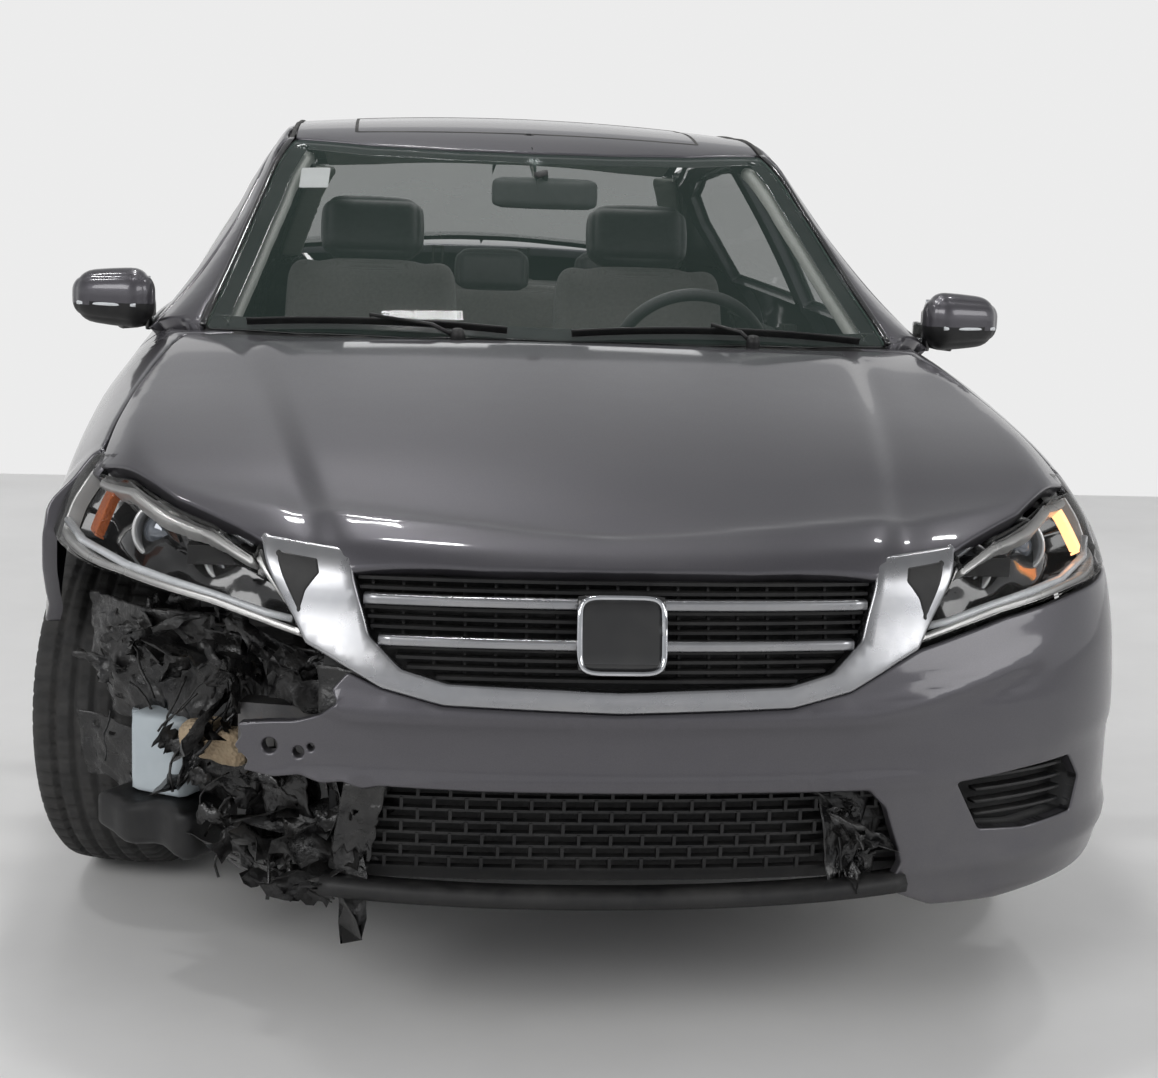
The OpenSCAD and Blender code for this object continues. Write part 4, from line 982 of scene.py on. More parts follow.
def round_rect(w, h, r, steps=3):
    pts = []
    for cx, cy, a0 in ((w / 2 - r, h / 2 - r, 0), (-w / 2 + r, h / 2 - r, 90),
                       (-w / 2 + r, -h / 2 + r, 180), (w / 2 - r, -h / 2 + r, 270)):
        for k in range(steps + 1):
            a = math.radians(a0 + 90 * k / steps)
            pts.append((cx + r * math.cos(a), cy + r * math.sin(a)))
    return pts


def soft_box(size, r=0.02, cuts=6, bulge=0.0):
    """A box with rounded edges and crowned faces, as a grid of quads."""
    sx, sy, sz = (s / 2 for s in size)
    v, f, index = [], [], {}
    n = cuts

    def vert(p):
        key = tuple(round(c, 5) for c in p)
        if key not in index:
            index[key] = len(v)
            v.append(p)
        return index[key]
    for ax in range(3):
        for s in (-1, 1):
            g = []
            for i in range(n + 1):
                row = []
                for j in range(n + 1):
                    c = [0, 0, 0]
                    c[ax] = s
                    c[(ax + 1) % 3] = i / n * 2 - 1
                    c[(ax + 2) % 3] = j / n * 2 - 1
                    row.append(vert(tuple(c)))
                g.append(row)
            for i in range(n):
                for j in range(n):
                    q = [g[i][j], g[i + 1][j], g[i + 1][j + 1], g[i][j + 1]]
                    f.append(q if s > 0 else q[::-1])
    out = []
    for c in v:
        p = Vector((c[0] * sx, c[1] * sy, c[2] * sz))
        inner = Vector((max(-sx + r, min(sx - r, p.x)), max(-sy + r, min(sy - r, p.y)),
                        max(-sz + r, min(sz - r, p.z))))
        d = p - inner
        if d.length > 1e-9:
            p = inner + d.normalized() * r
        if bulge:
            k = (1 - c[0] ** 2) * (1 - c[1] ** 2) + (1 - c[1] ** 2) * (1 - c[2] ** 2) + (
                1 - c[0] ** 2) * (1 - c[2] ** 2)
            p += Vector((c[0], c[1], c[2])) * bulge * k
        out.append(p)
    return out, f


def place(v, origin=(0, 0, 0), rot=None):
    m = rot or Matrix.Identity(3)
    o = Vector(origin)
    return [m @ Vector(p) + o for p in v]


def subdivided(o, levels=1):
    m = o.modifiers.new("smooth", "SUBSURF")
    m.levels = m.render_levels = levels
    return o


def nose_y(x, z):
    hit = T_BODY.ray_cast(Vector((x, -4, z)), Vector((0, 1, 0)))
    return (hit[0].y, hit[1] if hit[1].y < 0 else -hit[1]) if hit[0] is not None else (
        -1.9, Vector((0, -1, 0)))


def tail_y(x, z):
    hit = T_BODY.ray_cast(Vector((x, 4, z)), Vector((0, -1, 0)))
    return (hit[0].y, hit[1] if hit[1].y > 0 else -hit[1]) if hit[0] is not None else (
        1.95, Vector((0, 1, 0)))


# ---------------------------------------------------------------- front bumper cover, torn away on the right
def ff(pts):
    return [front_flat(x / 1000, z / 1000) for x, z in pts]


UPPER = [(0, 553), (256, 561), (347, 583), (420, 622), (457, 640), (605, 677), (750, 702), (846, 714)]
cover = ff(UPPER[::-1]) + ff([(-x, z) for x, z in UPPER[1:3]])
cover += ff([(-395, 604), (-418, 578), (-408, 560), (-432, 541), (-470, 528), (-512, 524), (-556, 517),
             (-549, 500), (-560, 482), (-538, 462),
             (-546, 447), (-500, 441), (-462, 447), (-430, 436), (-400, 441), (-372, 430), (-345, 437)])
cover += ff([(-200, 433), (0, 432), (200, 432), (385, 429), (415, 400), (447, 310), (428, 266), (503, 233),
             (620, 226), (730, 236)])
cover += [side_flat(NOSE, -1.93, 0.262), side_flat(NOSE, -1.815, 0.285)]
cover += [side_flat(NOSE, y, z) for y, z in arc(-1.470, 186, 144, steps=14)]
cover += [side_flat(NOSE, -1.806, 0.553), side_flat(NOSE, -1.874, 0.630), side_flat(NOSE, -1.937, 0.706)]
FOG = ff([(532, 432), (640, 441), (742, 446), (768, 405), (755, 352), (660, 345), (576, 353)])


def cover_form(q):
    """Shelf line, the soft channel under it, and the chin."""
    k = min(1.0, max(0.0, (0.72 - abs(q.x)) / 0.25))
    edge = 0.546 + 0.35 * max(0.0, abs(q.x) - 0.36) ** 1.3
    h = 0.010 * math.exp(-((q.z - edge) / 0.014) ** 2) - 0.006 * math.exp(-((q.z - 0.495) / 0.035) ** 2)
    h += 0.005 * math.exp(-((q.z - 0.440) / 0.010) ** 2)
    k2 = min(1.0, max(0.0, (abs(q.x) - 0.40) / 0.2)) * min(1.0, max(0.0, (-1.86 - q.y) / 0.15))
    g = 0.008 * math.exp(-((q.z - (0.300 + 0.10 * max(0.0, (0.9 + (q.y + 1.9)) - 0.5))) / 0.020) ** 2)
    g += 0.005 / (1 + math.exp(-(q.z - 0.458 - 0.06 * (abs(q.x) - 0.6)) / 0.006)) * math.exp(
            -((q.z - 0.46) / 0.07) ** 2)
    return h * k + g * k2


M_COVER = surface("cover_paint", (0.088, 0.084, 0.096), (0.068, 0.065, 0.074), scale=900,
                  rough=(0.35, 0.44), metallic=0.65,
                  coat=0.7, coat_rough=0.07, dust=0.12, low=0.3,
                  dust_color=(0.15, 0.145, 0.14), wear=(0.04, (0.16, 0.16, 0.16)))


def circle(cx, cy, r, n=14):
    return [(cx + r * math.cos(2 * math.pi * k / n), cy + r * math.sin(2 * math.pi * k / n))
            for k in range(n)]


BOLTS = [[front_flat(x, z) for x, z in circle(cx, cz, r)]
         for cx, cz, r in ((-0.508, 0.487, 0.011), (-0.466, 0.480, 0.008), (-0.448, 0.488, 0.005))]
fb = panel("front_cover", cover, NOSE, M_COVER, depth=0.014, holes=[FOG] + BOLTS, spacing=0.013,
           step=0.010, corner=0.006, push=cover_form)
add(fb, "root", "front_bumper", slot="bumper_paint")

# black pan behind the openings
FOG_IN = Round(-1.70, -1, inset=0.045)
fog = panel("fog_recess_pan", FOG, FOG_IN, M_BLACK, depth=-0.045, spacing=0.02, roll=0.002, corner=0.006)
add(fog)
parts = []
for z in (0.372, 0.392, 0.412, 0.432):
    path = [FOG_IN.put(front_flat(x, z))[0] + Vector((0.004, -0.026, 0))
            for x in np.linspace(0.578, 0.752, 12)]
    parts.append(sweep_arrays(path, round_rect(0.020, 0.006, 0.0025)))
add(new_mesh("fog_slats", *join_arrays(parts), M_BLACK))

# black lip under the mouth
lip_path = [(x, nose_y(x, 0.30)[0] - 0.004 + 0.06 * max(0.0, abs(x) - 0.30) ** 1.5,
             0.281 - 0.012 * (1 - (x / 0.44) ** 2)) for x in np.linspace(-0.43, 0.452, 44)]
add(new_mesh("lower_lip", *sweep_arrays(lip_path, [(-0.030, -0.004), (-0.012, -0.012), (0.012, -0.014),
                                                   (0.016, 0.0), (0.008, 0.012), (-0.030, 0.010)]), M_BLACK))

# lower grille: a brick mesh of fine bars behind the mouth
parts = []
for k in range(8):
    z = 0.300 + 0.0185 * k
    w = 0.452 - 0.055 * (z - 0.30) / 0.13
    path = [(x, nose_y(x, z)[0] + 0.040, z) for x in np.linspace(-w + 0.05, w, 30)]
    parts.append(sweep_arrays(path, [(-0.010, -0.0022), (0.006, -0.0022), (0.006, 0.0022), (-0.010, 0.0022)]))
for k in range(7):
    z0 = 0.300 + 0.0185 * k
    for x in np.arange(-0.385 + (k % 2) * 0.024, 0.43, 0.048):
        y = nose_y(x, z0)[0] + 0.040
        parts.append(sweep_arrays([(x, y, z0), (x, y, z0 + 0.0185)], [(-0.0025, -0.009), (0.0025, -0.009),
                (0.0025, 0.006), (-0.0025, 0.006)],
                                  up=Vector((0, 1, 0))))
lower = new_mesh("lower_grille_mesh", *join_arrays(parts), M_BLACK, smooth=False)
add(lower, "root", "grille", slot="grille_black")
lo = [(x, nose_y(x, 0.36)[0] + 0.075) for x in np.linspace(-0.42, 0.48, 14)]
v = [(x, y, z) for z in (0.27, 0.36, 0.46) for x, y in lo]
f = [[r * 14 + c, r * 14 + c + 1, (r + 1) * 14 + c + 1, (r + 1) * 14 + c] for r in range(2)
     for c in range(13)]
add(new_mesh("lower_grille_back", v, f, M_BLACK))

# upper grille: bright surround, two bright bars, thin black slats and a blank plate
GR_OUT = [(0, 553), (256, 561), (347, 583), (420, 622), (457, 640), (523, 784)]
GR_IN = [(390, 762), (380, 710), (364, 656), (317, 612), (250, 594), (0, 587)]
M_SURR = surface("surround_bright", (0.40, 0.40, 0.41), (0.33, 0.335, 0.35), scale=15, rough=(0.22, 0.32),
                 metallic=1.0, dust=0.12)
order = ff([(523, 784), (457, 640), (420, 622), (347, 583), (256, 561), (0, 553)] + [
    (-x, z) for x, z in GR_OUT[1:]])
order += ff([(-400, 772)] + [(-x, z) for x, z in GR_IN[:-1]] + [(0, 587)] + GR_IN[:-1][::-1] + [(400, 772)])
add(panel("grille_surround", order, NOSE, M_SURR, depth=0.03, spacing=0.014, step=0.010, corner=0.006,
          push=lambda q: 0.004, roll=0.006))
inset_ = panel("surround_inset_left", ff([(502, 764), (440, 757), (436, 738), (456, 712), (466, 678)]),
               NOSE, M_BLACK, depth=0.006,
               spacing=0.010, step=0.008, corner=0.004, push=lambda q: 0.0052)
pair(inset_)
parts = []
for z, w in ((0.706, 0.372), (0.650, 0.350)):
    path = [(x, nose_y(x, z)[0] + 0.004, z) for x in np.linspace(-w, w, 40)]
    parts.append(sweep_arrays(path, round_rect(0.020, 0.017, 0.006)))
add(new_mesh("grille_bars", *join_arrays(parts), M_SURR))
parts = []
for k in range(13):
    z = 0.598 + 0.0135 * k
    if min(abs(z - 0.706), abs(z - 0.650)) < 0.010:
        continue
    w = float(np.interp(z, [0.59, 0.612, 0.656, 0.71, 0.77], [0.24, 0.31, 0.358, 0.376, 0.386]))
    path = [(x, nose_y(x, z)[0] + 0.024, z) for x in np.linspace(-w, w, 30)]
    parts.append(sweep_arrays(path, [(-0.012, -0.0016), (0.010, -0.0024), (0.010, 0.0024), (-0.012, 0.0016)]))
for x in np.arange(-0.36, 0.361, 0.045):
    zt = 0.755
    zb = 0.600 if abs(x) < 0.25 else 0.60 + (abs(x) - 0.25) * 0.5
    path = [(x, nose_y(x, z)[0] + 0.036, z) for z in np.linspace(zb, zt, 6)]
    parts.append(sweep_arrays(path, [(-0.002, -0.006), (0.002, -0.006), (0.002, 0.006), (-0.002, 0.006)],
                              up=Vector((0, 1, 0))))
add(new_mesh("grille_slats", *join_arrays(parts), M_BLACK, smooth=False))
lo = np.linspace(-0.43, 0.43, 16)
v = [(x, nose_y(x, z)[0] + 0.055, z) for z in (0.57, 0.63, 0.69, 0.752) for x in lo]
f = [[r * 16 + c, r * 16 + c + 1, (r + 1) * 16 + c + 1, (r + 1) * 16 + c] for r in range(3)
     for c in range(15)]
add(new_mesh("grille_back", v, f, M_BLACK))
v, f = soft_box((0.131, 0.016, 0.112), r=0.007, cuts=8)
by = nose_y(0.0, 0.669)[0]
frame_pts = []
for k in range(48):
    a = 2 * math.pi * k / 48
    e = 0.34
    fx = 0.062 * math.copysign(abs(math.cos(a)) ** e, math.cos(a))
    fz = 0.053 * math.copysign(abs(math.sin(a)) ** e, math.sin(a))
    frame_pts.append(Vector((fx, by - 0.020 + 0.28 * fz, 0.669 + fz)))
add(new_mesh("blank_plate_frame", *sweep_arrays(frame_pts + [frame_pts[0], frame_pts[1]],
                                                round_rect(0.009, 0.007, 0.003)), M_CHROME))
add(new_mesh("blank_plate_front", place(v, (0, by - 0.010, 0.669), Matrix.Rotation(
    math.radians(-16), 3, "X")), f, M_GLOSS))


# ---------------------------------------------------------------- headlamps
def hood_pt(x, y):
    q = Top(T_BODY).put((x, y))[0]
    return NOSE.flat(q.x, q.y, q.z)


LAMP = [(x / 1000, y / 1000) for x, y in ((796, -1993), (728, -2085), (660, -2174), (592, -2232),
                                          (530, -2289))]
lamp_top = [hood_pt(x + 0.003, y - 0.007) for x, y in LAMP]
lamp_low = ff([(527, 776), (500, 722), (463, 648), (605, 683), (750, 708), (842, 719)])
lamp_back = [side_flat(NOSE, -1.934, 0.720), side_flat(NOSE, -1.918, 0.765),
             side_flat(NOSE, -1.900, 0.845), side_flat(NOSE, -1.985, 0.860)]
LAMP_OUT = lamp_top + lamp_low + lamp_back
lens = panel("headlamp_lens_left", LAMP_OUT, NOSE, M_LENS, depth=0.010, spacing=0.014, roll=0.003,
             corner=0.010)
pair(lens, "root", "headlamps", slot="lamp")
small = shrink(LAMP_OUT, 0.004)
deep_in = Round(-1.70, -1, inset=0.085)


def bowl(q):
    return 0.004 * math.sin(q.x * 60) * math.sin(q.z * 80)


M_BEZEL = surface("lamp_bezel", (0.62, 0.615, 0.60), (0.48, 0.477, 0.47), scale=14, rough=(0.24, 0.38),
                  metallic=0.45)
M_RING = surface("lamp_ring", (0.80, 0.80, 0.79), (0.66, 0.66, 0.66), scale=24, rough=(0.16, 0.26),
                 metallic=0.35, dust=0.05)
pan = panel("headlamp_pan_left", small, deep_in, M_GLOSS, depth=-0.083, spacing=0.014, roll=0.0,
            corner=0.010, push=bowl)
pair(pan)
rim_ = panel("headlamp_bezel_left", shrink(LAMP_OUT, 0.002), Round(-1.70, -1, inset=0.014), M_BEZEL,
             depth=0.022, holes=[shrink(LAMP_OUT, 0.012)],
             spacing=0.012, step=0.008, roll=0.003, corner=0.008)
pair(rim_)


def lamp_unit(name, p, r, mats, recess=0.066, lens_r=0.7, tilt=(0.10, -0.96, 0.20)):
    d = Vector(tilt).normalized()
    o = Vector(p) - d * recess
    ring_ = lathe(name + "_ring_left", [(r * 0.74, -0.016), (r * 0.80, 0.010), (r * 0.86, 0.018),
                                        (r * 0.96, 0.018), (r, 0.012), (r * 1.02, -0.01),
                                        (r * 1.04, -0.03), (r * 1.10, -0.045)], o, d, mats[0])
    prof = [(0.0001, 0.022), (r * lens_r * 0.35, 0.0205), (r * lens_r * 0.65, 0.015),
            (r * lens_r * 0.9, 0.005), (r * lens_r, -0.006), (r * 0.78, -0.018)]
    eye = lathe(name + "_eye_left", prof, o, d, mats[1])
    pair(ring_)
    pair(eye)


M_EYE = surface("projector_glass", (0.20, 0.22, 0.25), (0.10, 0.11, 0.13), scale=9, rough=(0.02, 0.06),
                coat=1.0, metallic=0.4)
M_REFLECT = surface("reflector", (0.72, 0.73, 0.75), (0.55, 0.56, 0.58), scale=60, rough=(0.08, 0.16),
                    metallic=1.0, bump=0.002,
                    bump_scale=55, bump_kind="cells")
lamp_unit("projector", (0.694, -2.142, 0.762), 0.049, (M_RING, M_EYE))
lamp_unit("high_beam", (0.578, -2.238, 0.742), 0.045, (M_RING, M_REFLECT), recess=0.060, lens_r=0.74)
strip_path = [Vector(Round(-1.70, -1, inset=0.013).put(p)[0])
              for p in ff([(480, 668), (520, 674), (605, 694), (680, 708), (750, 720), (842, 732)])]
strip_path += [Vector(NOSE.put(side_flat(NOSE, -1.955, 0.742))[0])]
cen = Vector((0.45, -1.7, 0.70))
parts = sweep_arrays([p + (cen - p).normalized() * 0.018 for p in strip_path],
                     round_rect(0.014, 0.010, 0.004))
st = new_mesh("lamp_strip_left", *parts, M_LED)
pair(st)
am = [NOSE.flat(*p) for p in ((0.752, -2.085, 0.755), (0.775, -2.060, 0.760), (0.790, -2.020, 0.825),
                              (0.770, -2.050, 0.826))]
amb = panel("lamp_amber_left", am, Round(-1.70, -1, inset=0.022), M_GLOW, depth=0.012, spacing=0.01,
            step=0.006, corner=0.004, roll=0.003)
pair(amb).data.materials[0] = M_AMBER
bz = [Vector(Round(-1.70, -1, inset=0.016).put(NOSE.flat(x, y, z))[0])
      for x, y, z in ((0.535, -2.27, 0.775), (0.60, -2.225, 0.800), (0.68, -2.15, 0.826), (0.75, -2.06, 0.842))]
parts = sweep_arrays([p + (cen - p).normalized() * 0.012 for p in bz], round_rect(0.008, 0.006, 0.002))
bzo = new_mesh("lamp_brow_left", *parts, M_SATIN)
pair(bzo)


# ---------------------------------------------------------------- the torn corner


def ragged(name, corners, mat, cells=(26, 18), amp=0.016, seed=1, tear=0.18, freq=9.0, thick=0.002, fold=0.0):
    """A torn sheet between four corners, buckled and with a ragged edge."""
    a, b, c, d = (Vector(p) for p in corners)
    n, m = cells
    nrm = (b - a).cross(d - a).normalized()
    v, f = [], []
    for i in range(n + 1):
        for j in range(m + 1):
            s, t = i / n, j / m
            e = 0.5 + 0.5 * mnoise.noise(Vector((s * 9 + seed, seed * 3.1, 0.3)))
            e2 = 0.5 + 0.5 * mnoise.noise(Vector((t * 8 + seed, 7.7, seed * 1.7)))
            tt = t * (1 - tear * e)
            ss = s * (1 - tear * 0.5 * e2)
            p = a * (1 - ss) * (1 - tt) + b * ss * (1 - tt) + c * ss * tt + d * (1 - ss) * tt
            q = p * freq + Vector((seed * 5.0, seed, 0))
            p = p + nrm * (amp * mnoise.noise(q) + amp * 0.5 * mnoise.noise(q * 2.7)
                           + amp * 0.22 * mnoise.noise(q * 7.1))
            p = p + nrm * fold * math.sin(s * math.pi * 2.0 + seed)
            v.append(p)
    w = m + 1
    for i in range(n):
        for j in range(m):
            if mnoise.noise(Vector((
                    i * 0.35 + seed, j * 0.35, 2.2))) > 0.52 and 2 < i < n - 3 and 2 < j < m - 3:
                continue
            f.append([i * w + j, (i + 1) * w + j, (i + 1) * w + j + 1, i * w + j + 1])
    o = new_mesh(name, v, f, mat)
    s = o.modifiers.new("thick", "SOLIDIFY")
    s.thickness = thick
    return o


def shards(name, spots, count, size, mat, seed):
    """Crumpled splinters of broken plastic scattered round a few places, (x, y, z, spread)."""
    parts = []
    for k in range(count):
        h = [0.5 + 0.5 * mnoise.noise(Vector((k * 1.37 + seed, j * 2.11, seed * 0.7))) * 1.8
             for j in range(9)]
        x, y, z, r = spots[k % len(spots)]
        c0 = Vector((x + (h[0] - 0.5) * 2 * r, y + (h[1] - 0.5) * r, z + (h[2] - 0.5) * 2 * r))
        rot = Matrix.Rotation(h[3] * 6.3, 3, "Y") @ Matrix.Rotation(
            (h[4] - 0.5) * 2.6, 3, "X") @ Matrix.Rotation((h[5] - 0.5) * 2.2, 3, "Z")
        ln, wd = size * (0.5 + 1.9 * h[6] ** 2), size * (0.22 + 0.75 * h[7] ** 2)
        v, f = [], []
        n, m = 9, 3
        for i in range(n + 1):
            t = i / n
            w = wd * (1 - t) ** 0.3 * (0.8 + 0.3 * math.sin(i * 2.3 + k))
            for j in range(m + 1):
                q = Vector(((j / m - 0.5) * w, 0.25 * ln * (h[8] - 0.5) * math.sin(t * 3.0)
                            + 0.10 * ln * math.sin(j * 1.9 + k + t * 7), t * ln - 0.5 * ln))
                v.append(c0 + rot @ q)
        top = len(v)
        nrm = rot @ Vector((0, 0.0016, 0))
        v += [q + nrm for q in v]
        w = m + 1
        for i in range(n):
            for j in range(m):
                a = i * w + j
                f.append([a, a + 1, a + w + 1, a + w])
                f.append([top + a, top + a + w, top + a + w + 1, top + a + 1])
        for i in range(n):
            for a, b in ((i * w, (i + 1) * w), ((i + 1) * w + m, i * w + m)):
                f.append([a, b, top + b, top + a])
        parts.append((v, f))
    return new_mesh(name, *join_arrays(parts), mat)


add(shards("splinters_upper", [(-0.70, -2.055, 0.575, 0.06), (-0.60, -2.13, 0.565, 0.06),
                               (-0.52, -2.20, 0.56, 0.05), (-0.78, -1.98, 0.54, 0.06),
                               (-0.46, -2.27, 0.575, 0.035)], 26, 0.085, M_TORN, 2.0))
add(shards("splinters_middle", [(-0.60, -2.16, 0.45, 0.05), (-0.56, -2.20, 0.40, 0.05),
                                (-0.66, -2.09, 0.40, 0.05), (-0.50, -2.25, 0.40, 0.04)], 20, 0.080, M_TORN,
                                5.0))
add(shards("splinters_low", [(-0.55, -2.20, 0.31, 0.05), (-0.47, -2.27, 0.31, 0.05),
                             (-0.41, -2.33, 0.33, 0.045), (-0.50, -2.24, 0.27, 0.03),
                             (-0.44, -2.30, 0.27, 0.03)],
           38, 0.095, M_TORN, 9.0))
add(shards("splinters_right", [(0.36, -2.372, 0.37, 0.025), (0.37, -2.372, 0.325, 0.02)], 14, 0.058,
           M_TORN, 14.0))

# hanging strips of the cover's torn end
add(ragged("torn_strip_a", [(-0.395, -2.385, 0.44), (-0.33, -2.40, 0.44), (-0.36, -2.395, 0.30),
                            (-0.42, -2.37, 0.31)], M_TORN, amp=0.014, seed=3, tear=0.3, cells=(14, 26)))
add(ragged("torn_strip_b", [(-0.44, -2.33, 0.60), (-0.37, -2.36, 0.60), (-0.375, -2.375, 0.43),
                            (-0.425, -2.35, 0.42)], M_TORN, amp=0.012, seed=5, tear=0.2, cells=(12, 24)))
add(ragged("torn_strip_c", [(-0.53, -2.24, 0.435), (-0.45, -2.30, 0.435), (-0.43, -2.29, 0.27),
                            (-0.50, -2.23, 0.29)], M_TORN, amp=0.018, seed=8, tear=0.4, cells=(16, 26)))
add(ragged("torn_lip", [(-0.72, -2.05, 0.275), (-0.40, -2.36, 0.245), (-0.40, -2.30, 0.205),
                        (-0.70, -2.00, 0.235)], M_TORN, amp=0.010, seed=11, tear=0.25, cells=(40, 14)))
add(ragged("torn_shroud", [(-0.62, -2.10, 0.60), (-0.43, -2.27, 0.60), (-0.43, -2.26, 0.30),
                           (-0.63, -2.08, 0.31)], M_TORN, amp=0.026, seed=13, tear=0.15, cells=(34, 44)))
add(ragged("torn_liner_front", [(-0.84, -1.90, 0.61), (-0.60, -2.12, 0.62), (-0.60, -2.10, 0.36),
                                (-0.80, -1.92, 0.40)], M_TORN, amp=0.028, seed=17, tear=0.25, cells=(36, 40)))
add(ragged("torn_liner_low", [(-0.86, -1.865, 0.40), (-0.58, -2.06, 0.37), (-0.56, -2.10, 0.24),
                              (-0.84, -1.88, 0.27)], M_TORN, amp=0.022, seed=19, tear=0.3, cells=(40, 24)))
add(ragged("torn_flap", [(-0.72, -2.01, 0.31), (-0.60, -2.08, 0.30), (-0.60, -2.09, 0.21),
                         (-0.71, -2.02, 0.205)], M_TORN, amp=0.012, seed=23, tear=0.35, cells=(20, 18)))
add(ragged("hanging_scrap_a", [(0.315, -2.372, 0.418), (0.405, -2.350, 0.425), (0.372, -2.385, 0.245),
                               (0.335, -2.392, 0.255)], M_TORN, amp=0.016, seed=29, tear=0.35,
                               cells=(18, 30)))
add(ragged("hanging_scrap_b", [(0.345, -2.360, 0.40), (0.425, -2.345, 0.39), (0.405, -2.372, 0.262),
                               (0.355, -2.385, 0.275)], M_TORN, amp=0.014, seed=31, tear=0.3, cells=(18, 26)))
# frayed cords of felt and thin wires among the debris
parts = []
for k in range(26):
    x0 = -0.45 - 0.36 * random.random()
    y0 = -2.26 + (abs(x0) - 0.45) * 0.85 + random.uniform(-0.02, 0.03)
    z0 = random.uniform(0.30, 0.58)
    p = Vector((x0, y0, z0))
    path = [p.copy()]
    d = Vector((random.uniform(-1, 1), random.uniform(-0.6, 0.3), random.uniform(-1, -0.1))).normalized()
    for i in range(7):
        d = (d + Vector((random.uniform(-0.5, 0.5), random.uniform(-0.3, 0.3), -0.25))).normalized()
        p = p + d * random.uniform(0.008, 0.022)
        p.z = max(p.z, 0.215)
        path.append(p.copy())
    parts.append(sweep_arrays(path, ring_section(random.uniform(0.0012, 0.0032), 6),
                              up=Vector((0.2, 0.3, 1))))
add(new_mesh("frayed_ends", *join_arrays(parts), M_TORN))
# foam block and washer bottle
v, f = soft_box((0.125, 0.10, 0.060), r=0.018, cuts=14)
for i, p in enumerate(v):
    v[i] = p + Vector((mnoise.noise(p * 30) * 0.008, mnoise.noise(p * 33 + Vector((4, 0, 0))) * 0.008,
                       mnoise.noise(p * 28 + Vector((0, 9, 0))) * 0.010))
add(new_mesh("foam_block", place(v, (-0.585, -2.120, 0.425), Matrix.Rotation(math.radians(-38), 3, "Z")),
             f, M_FOAM))
v, f = soft_box((0.120, 0.14, 0.135), r=0.022, cuts=12)
for i, p in enumerate(v):
    if abs(p.z) < 0.06:
        v[i] = Vector((p.x * 0.93, p.y * 0.95, p.z))
add(new_mesh("washer_bottle", place(v, (-0.672, -2.000, 0.375), Matrix.Rotation(
    math.radians(-30), 3, "Z")), f, M_TANK))
add(lathe("washer_neck", [(0.016, -0.01), (0.016, 0.05), (0.021, 0.052), (0.021, 0.066), (0.0001, 0.068)],
          (-0.665, -2.000, 0.440), (0.1, 0, 1), M_TANK, 24))
v, f = soft_box((0.21, 0.13, 0.088), r=0.020, cuts=12)
for i, p in enumerate(v):
    v[i] = Vector((p.x, p.y + 0.006 * math.sin(p.x * 60),
                   p.z * (0.86 + 1.4 * p.x) + 0.005 * math.sin(p.x * 45)))
add(new_mesh("air_duct", place(v, (-0.690, -2.010, 0.262), Matrix.Rotation(math.radians(-36), 3, "Z")), f,
             M_BLACK))

# blank sticker behind the windshield
add(panel("windshield_sticker", [(-0.540, -0.494), (-0.473, -0.502), (-0.477, -0.592), (-0.543, -0.582)],
          Top(T_CABIN, inset=0.010), M_PLATE, depth=0.001,
          spacing=0.012, step=0.010, corner=0.005, roll=0.0005))

# ---------------------------------------------------------------- door mirrors
def mirror_set():
    out = []
    v, f = soft_box((0.170, 0.098, 0.118), r=0.046, cuts=14, bulge=0.004)
    v2 = []
    for p in v:
        k = (p.x + 0.085) / 0.17
        q = Vector((p.x, p.y + 0.020 * (k - 0.5), p.z * (1.06 - 0.22 * k)))
        if p.y > 0.030:
            q.y = 0.030 + (p.y - 0.030) * 0.25
        v2.append(q)
    cap_f, low_f = [], []
    for t in f:
        zc = sum(v2[i].z for i in t) / len(t)
        yc = sum(v2[i].y for i in t) / len(t)
        (low_f if (zc < -0.012 or yc > 0.028) else cap_f).append(t)
    o = Vector((0.908, -0.958, 1.038))
    rot = Matrix.Rotation(math.radians(10), 3, "Z")
    pts = place(v2, o, rot)
    out.append(new_mesh("mirror_cap_left", pts, cap_f, M_PAINT))
    out.append(new_mesh("mirror_base_left", place([p * 0.992 for p in v2], o, rot), low_f, M_BLACK))
    path = [rot @ Vector((x, -0.050 + 0.010 * (x / 0.085) ** 2 + 0.020 * x / 0.17, -0.012 + 0.002 * x)) + o
            for x in np.linspace(-0.062, 0.066, 14)]
    out.append(new_mesh("mirror_repeater_left", *sweep_arrays(path, round_rect(0.006, 0.008, 0.0025)), M_LED))
    g, gf = soft_box((0.140, 0.004, 0.090), r=0.0019, cuts=8)
    out.append(new_mesh("mirror_glass_left", place(g, o + rot @ Vector((0, 0.030, 0)), rot), gf, M_MIRROR))
    arm = [(0.845, -0.935, 0.995), (0.868, -0.945, 0.990), (0.895, -0.955, 0.988)]
    out.append(new_mesh("mirror_foot_left", *sweep_arrays(arm, round_rect(0.055, 0.030, 0.010)), M_BLACK))
    v3, f3 = soft_box((0.014, 0.115, 0.060), r=0.006, cuts=6)
    out.append(new_mesh("mirror_sail_left", place(v3, (0.838, -0.905, 1.000)), f3, M_GLOSS))
    return out


for k, q in enumerate(mirror_set()):
    add(q, "door_front_left", *([] if k else ["mirror_left"]), slot=None if k else "mirror")
    add(mirrored(q, q.name.replace("_left", "_right")), "door_front_right", *([] if k else ["mirror_right"]))

# ---------------------------------------------------------------- cowl, wipers, pillar and roof trims
cow = [(0, -1258), (250, -1244), (500, -1200), (724, -1134), (704, -1096), (640, -1115), (520, -1152),
       (300, -1196), (0, -1214)]
add(panel("cowl_grille", whole(cow), Top(T_ALL, inset=0.010), M_BLACK, depth=0.02, spacing=0.02,
          roll=0.003), "root", "cowl", slot="black_plastic")


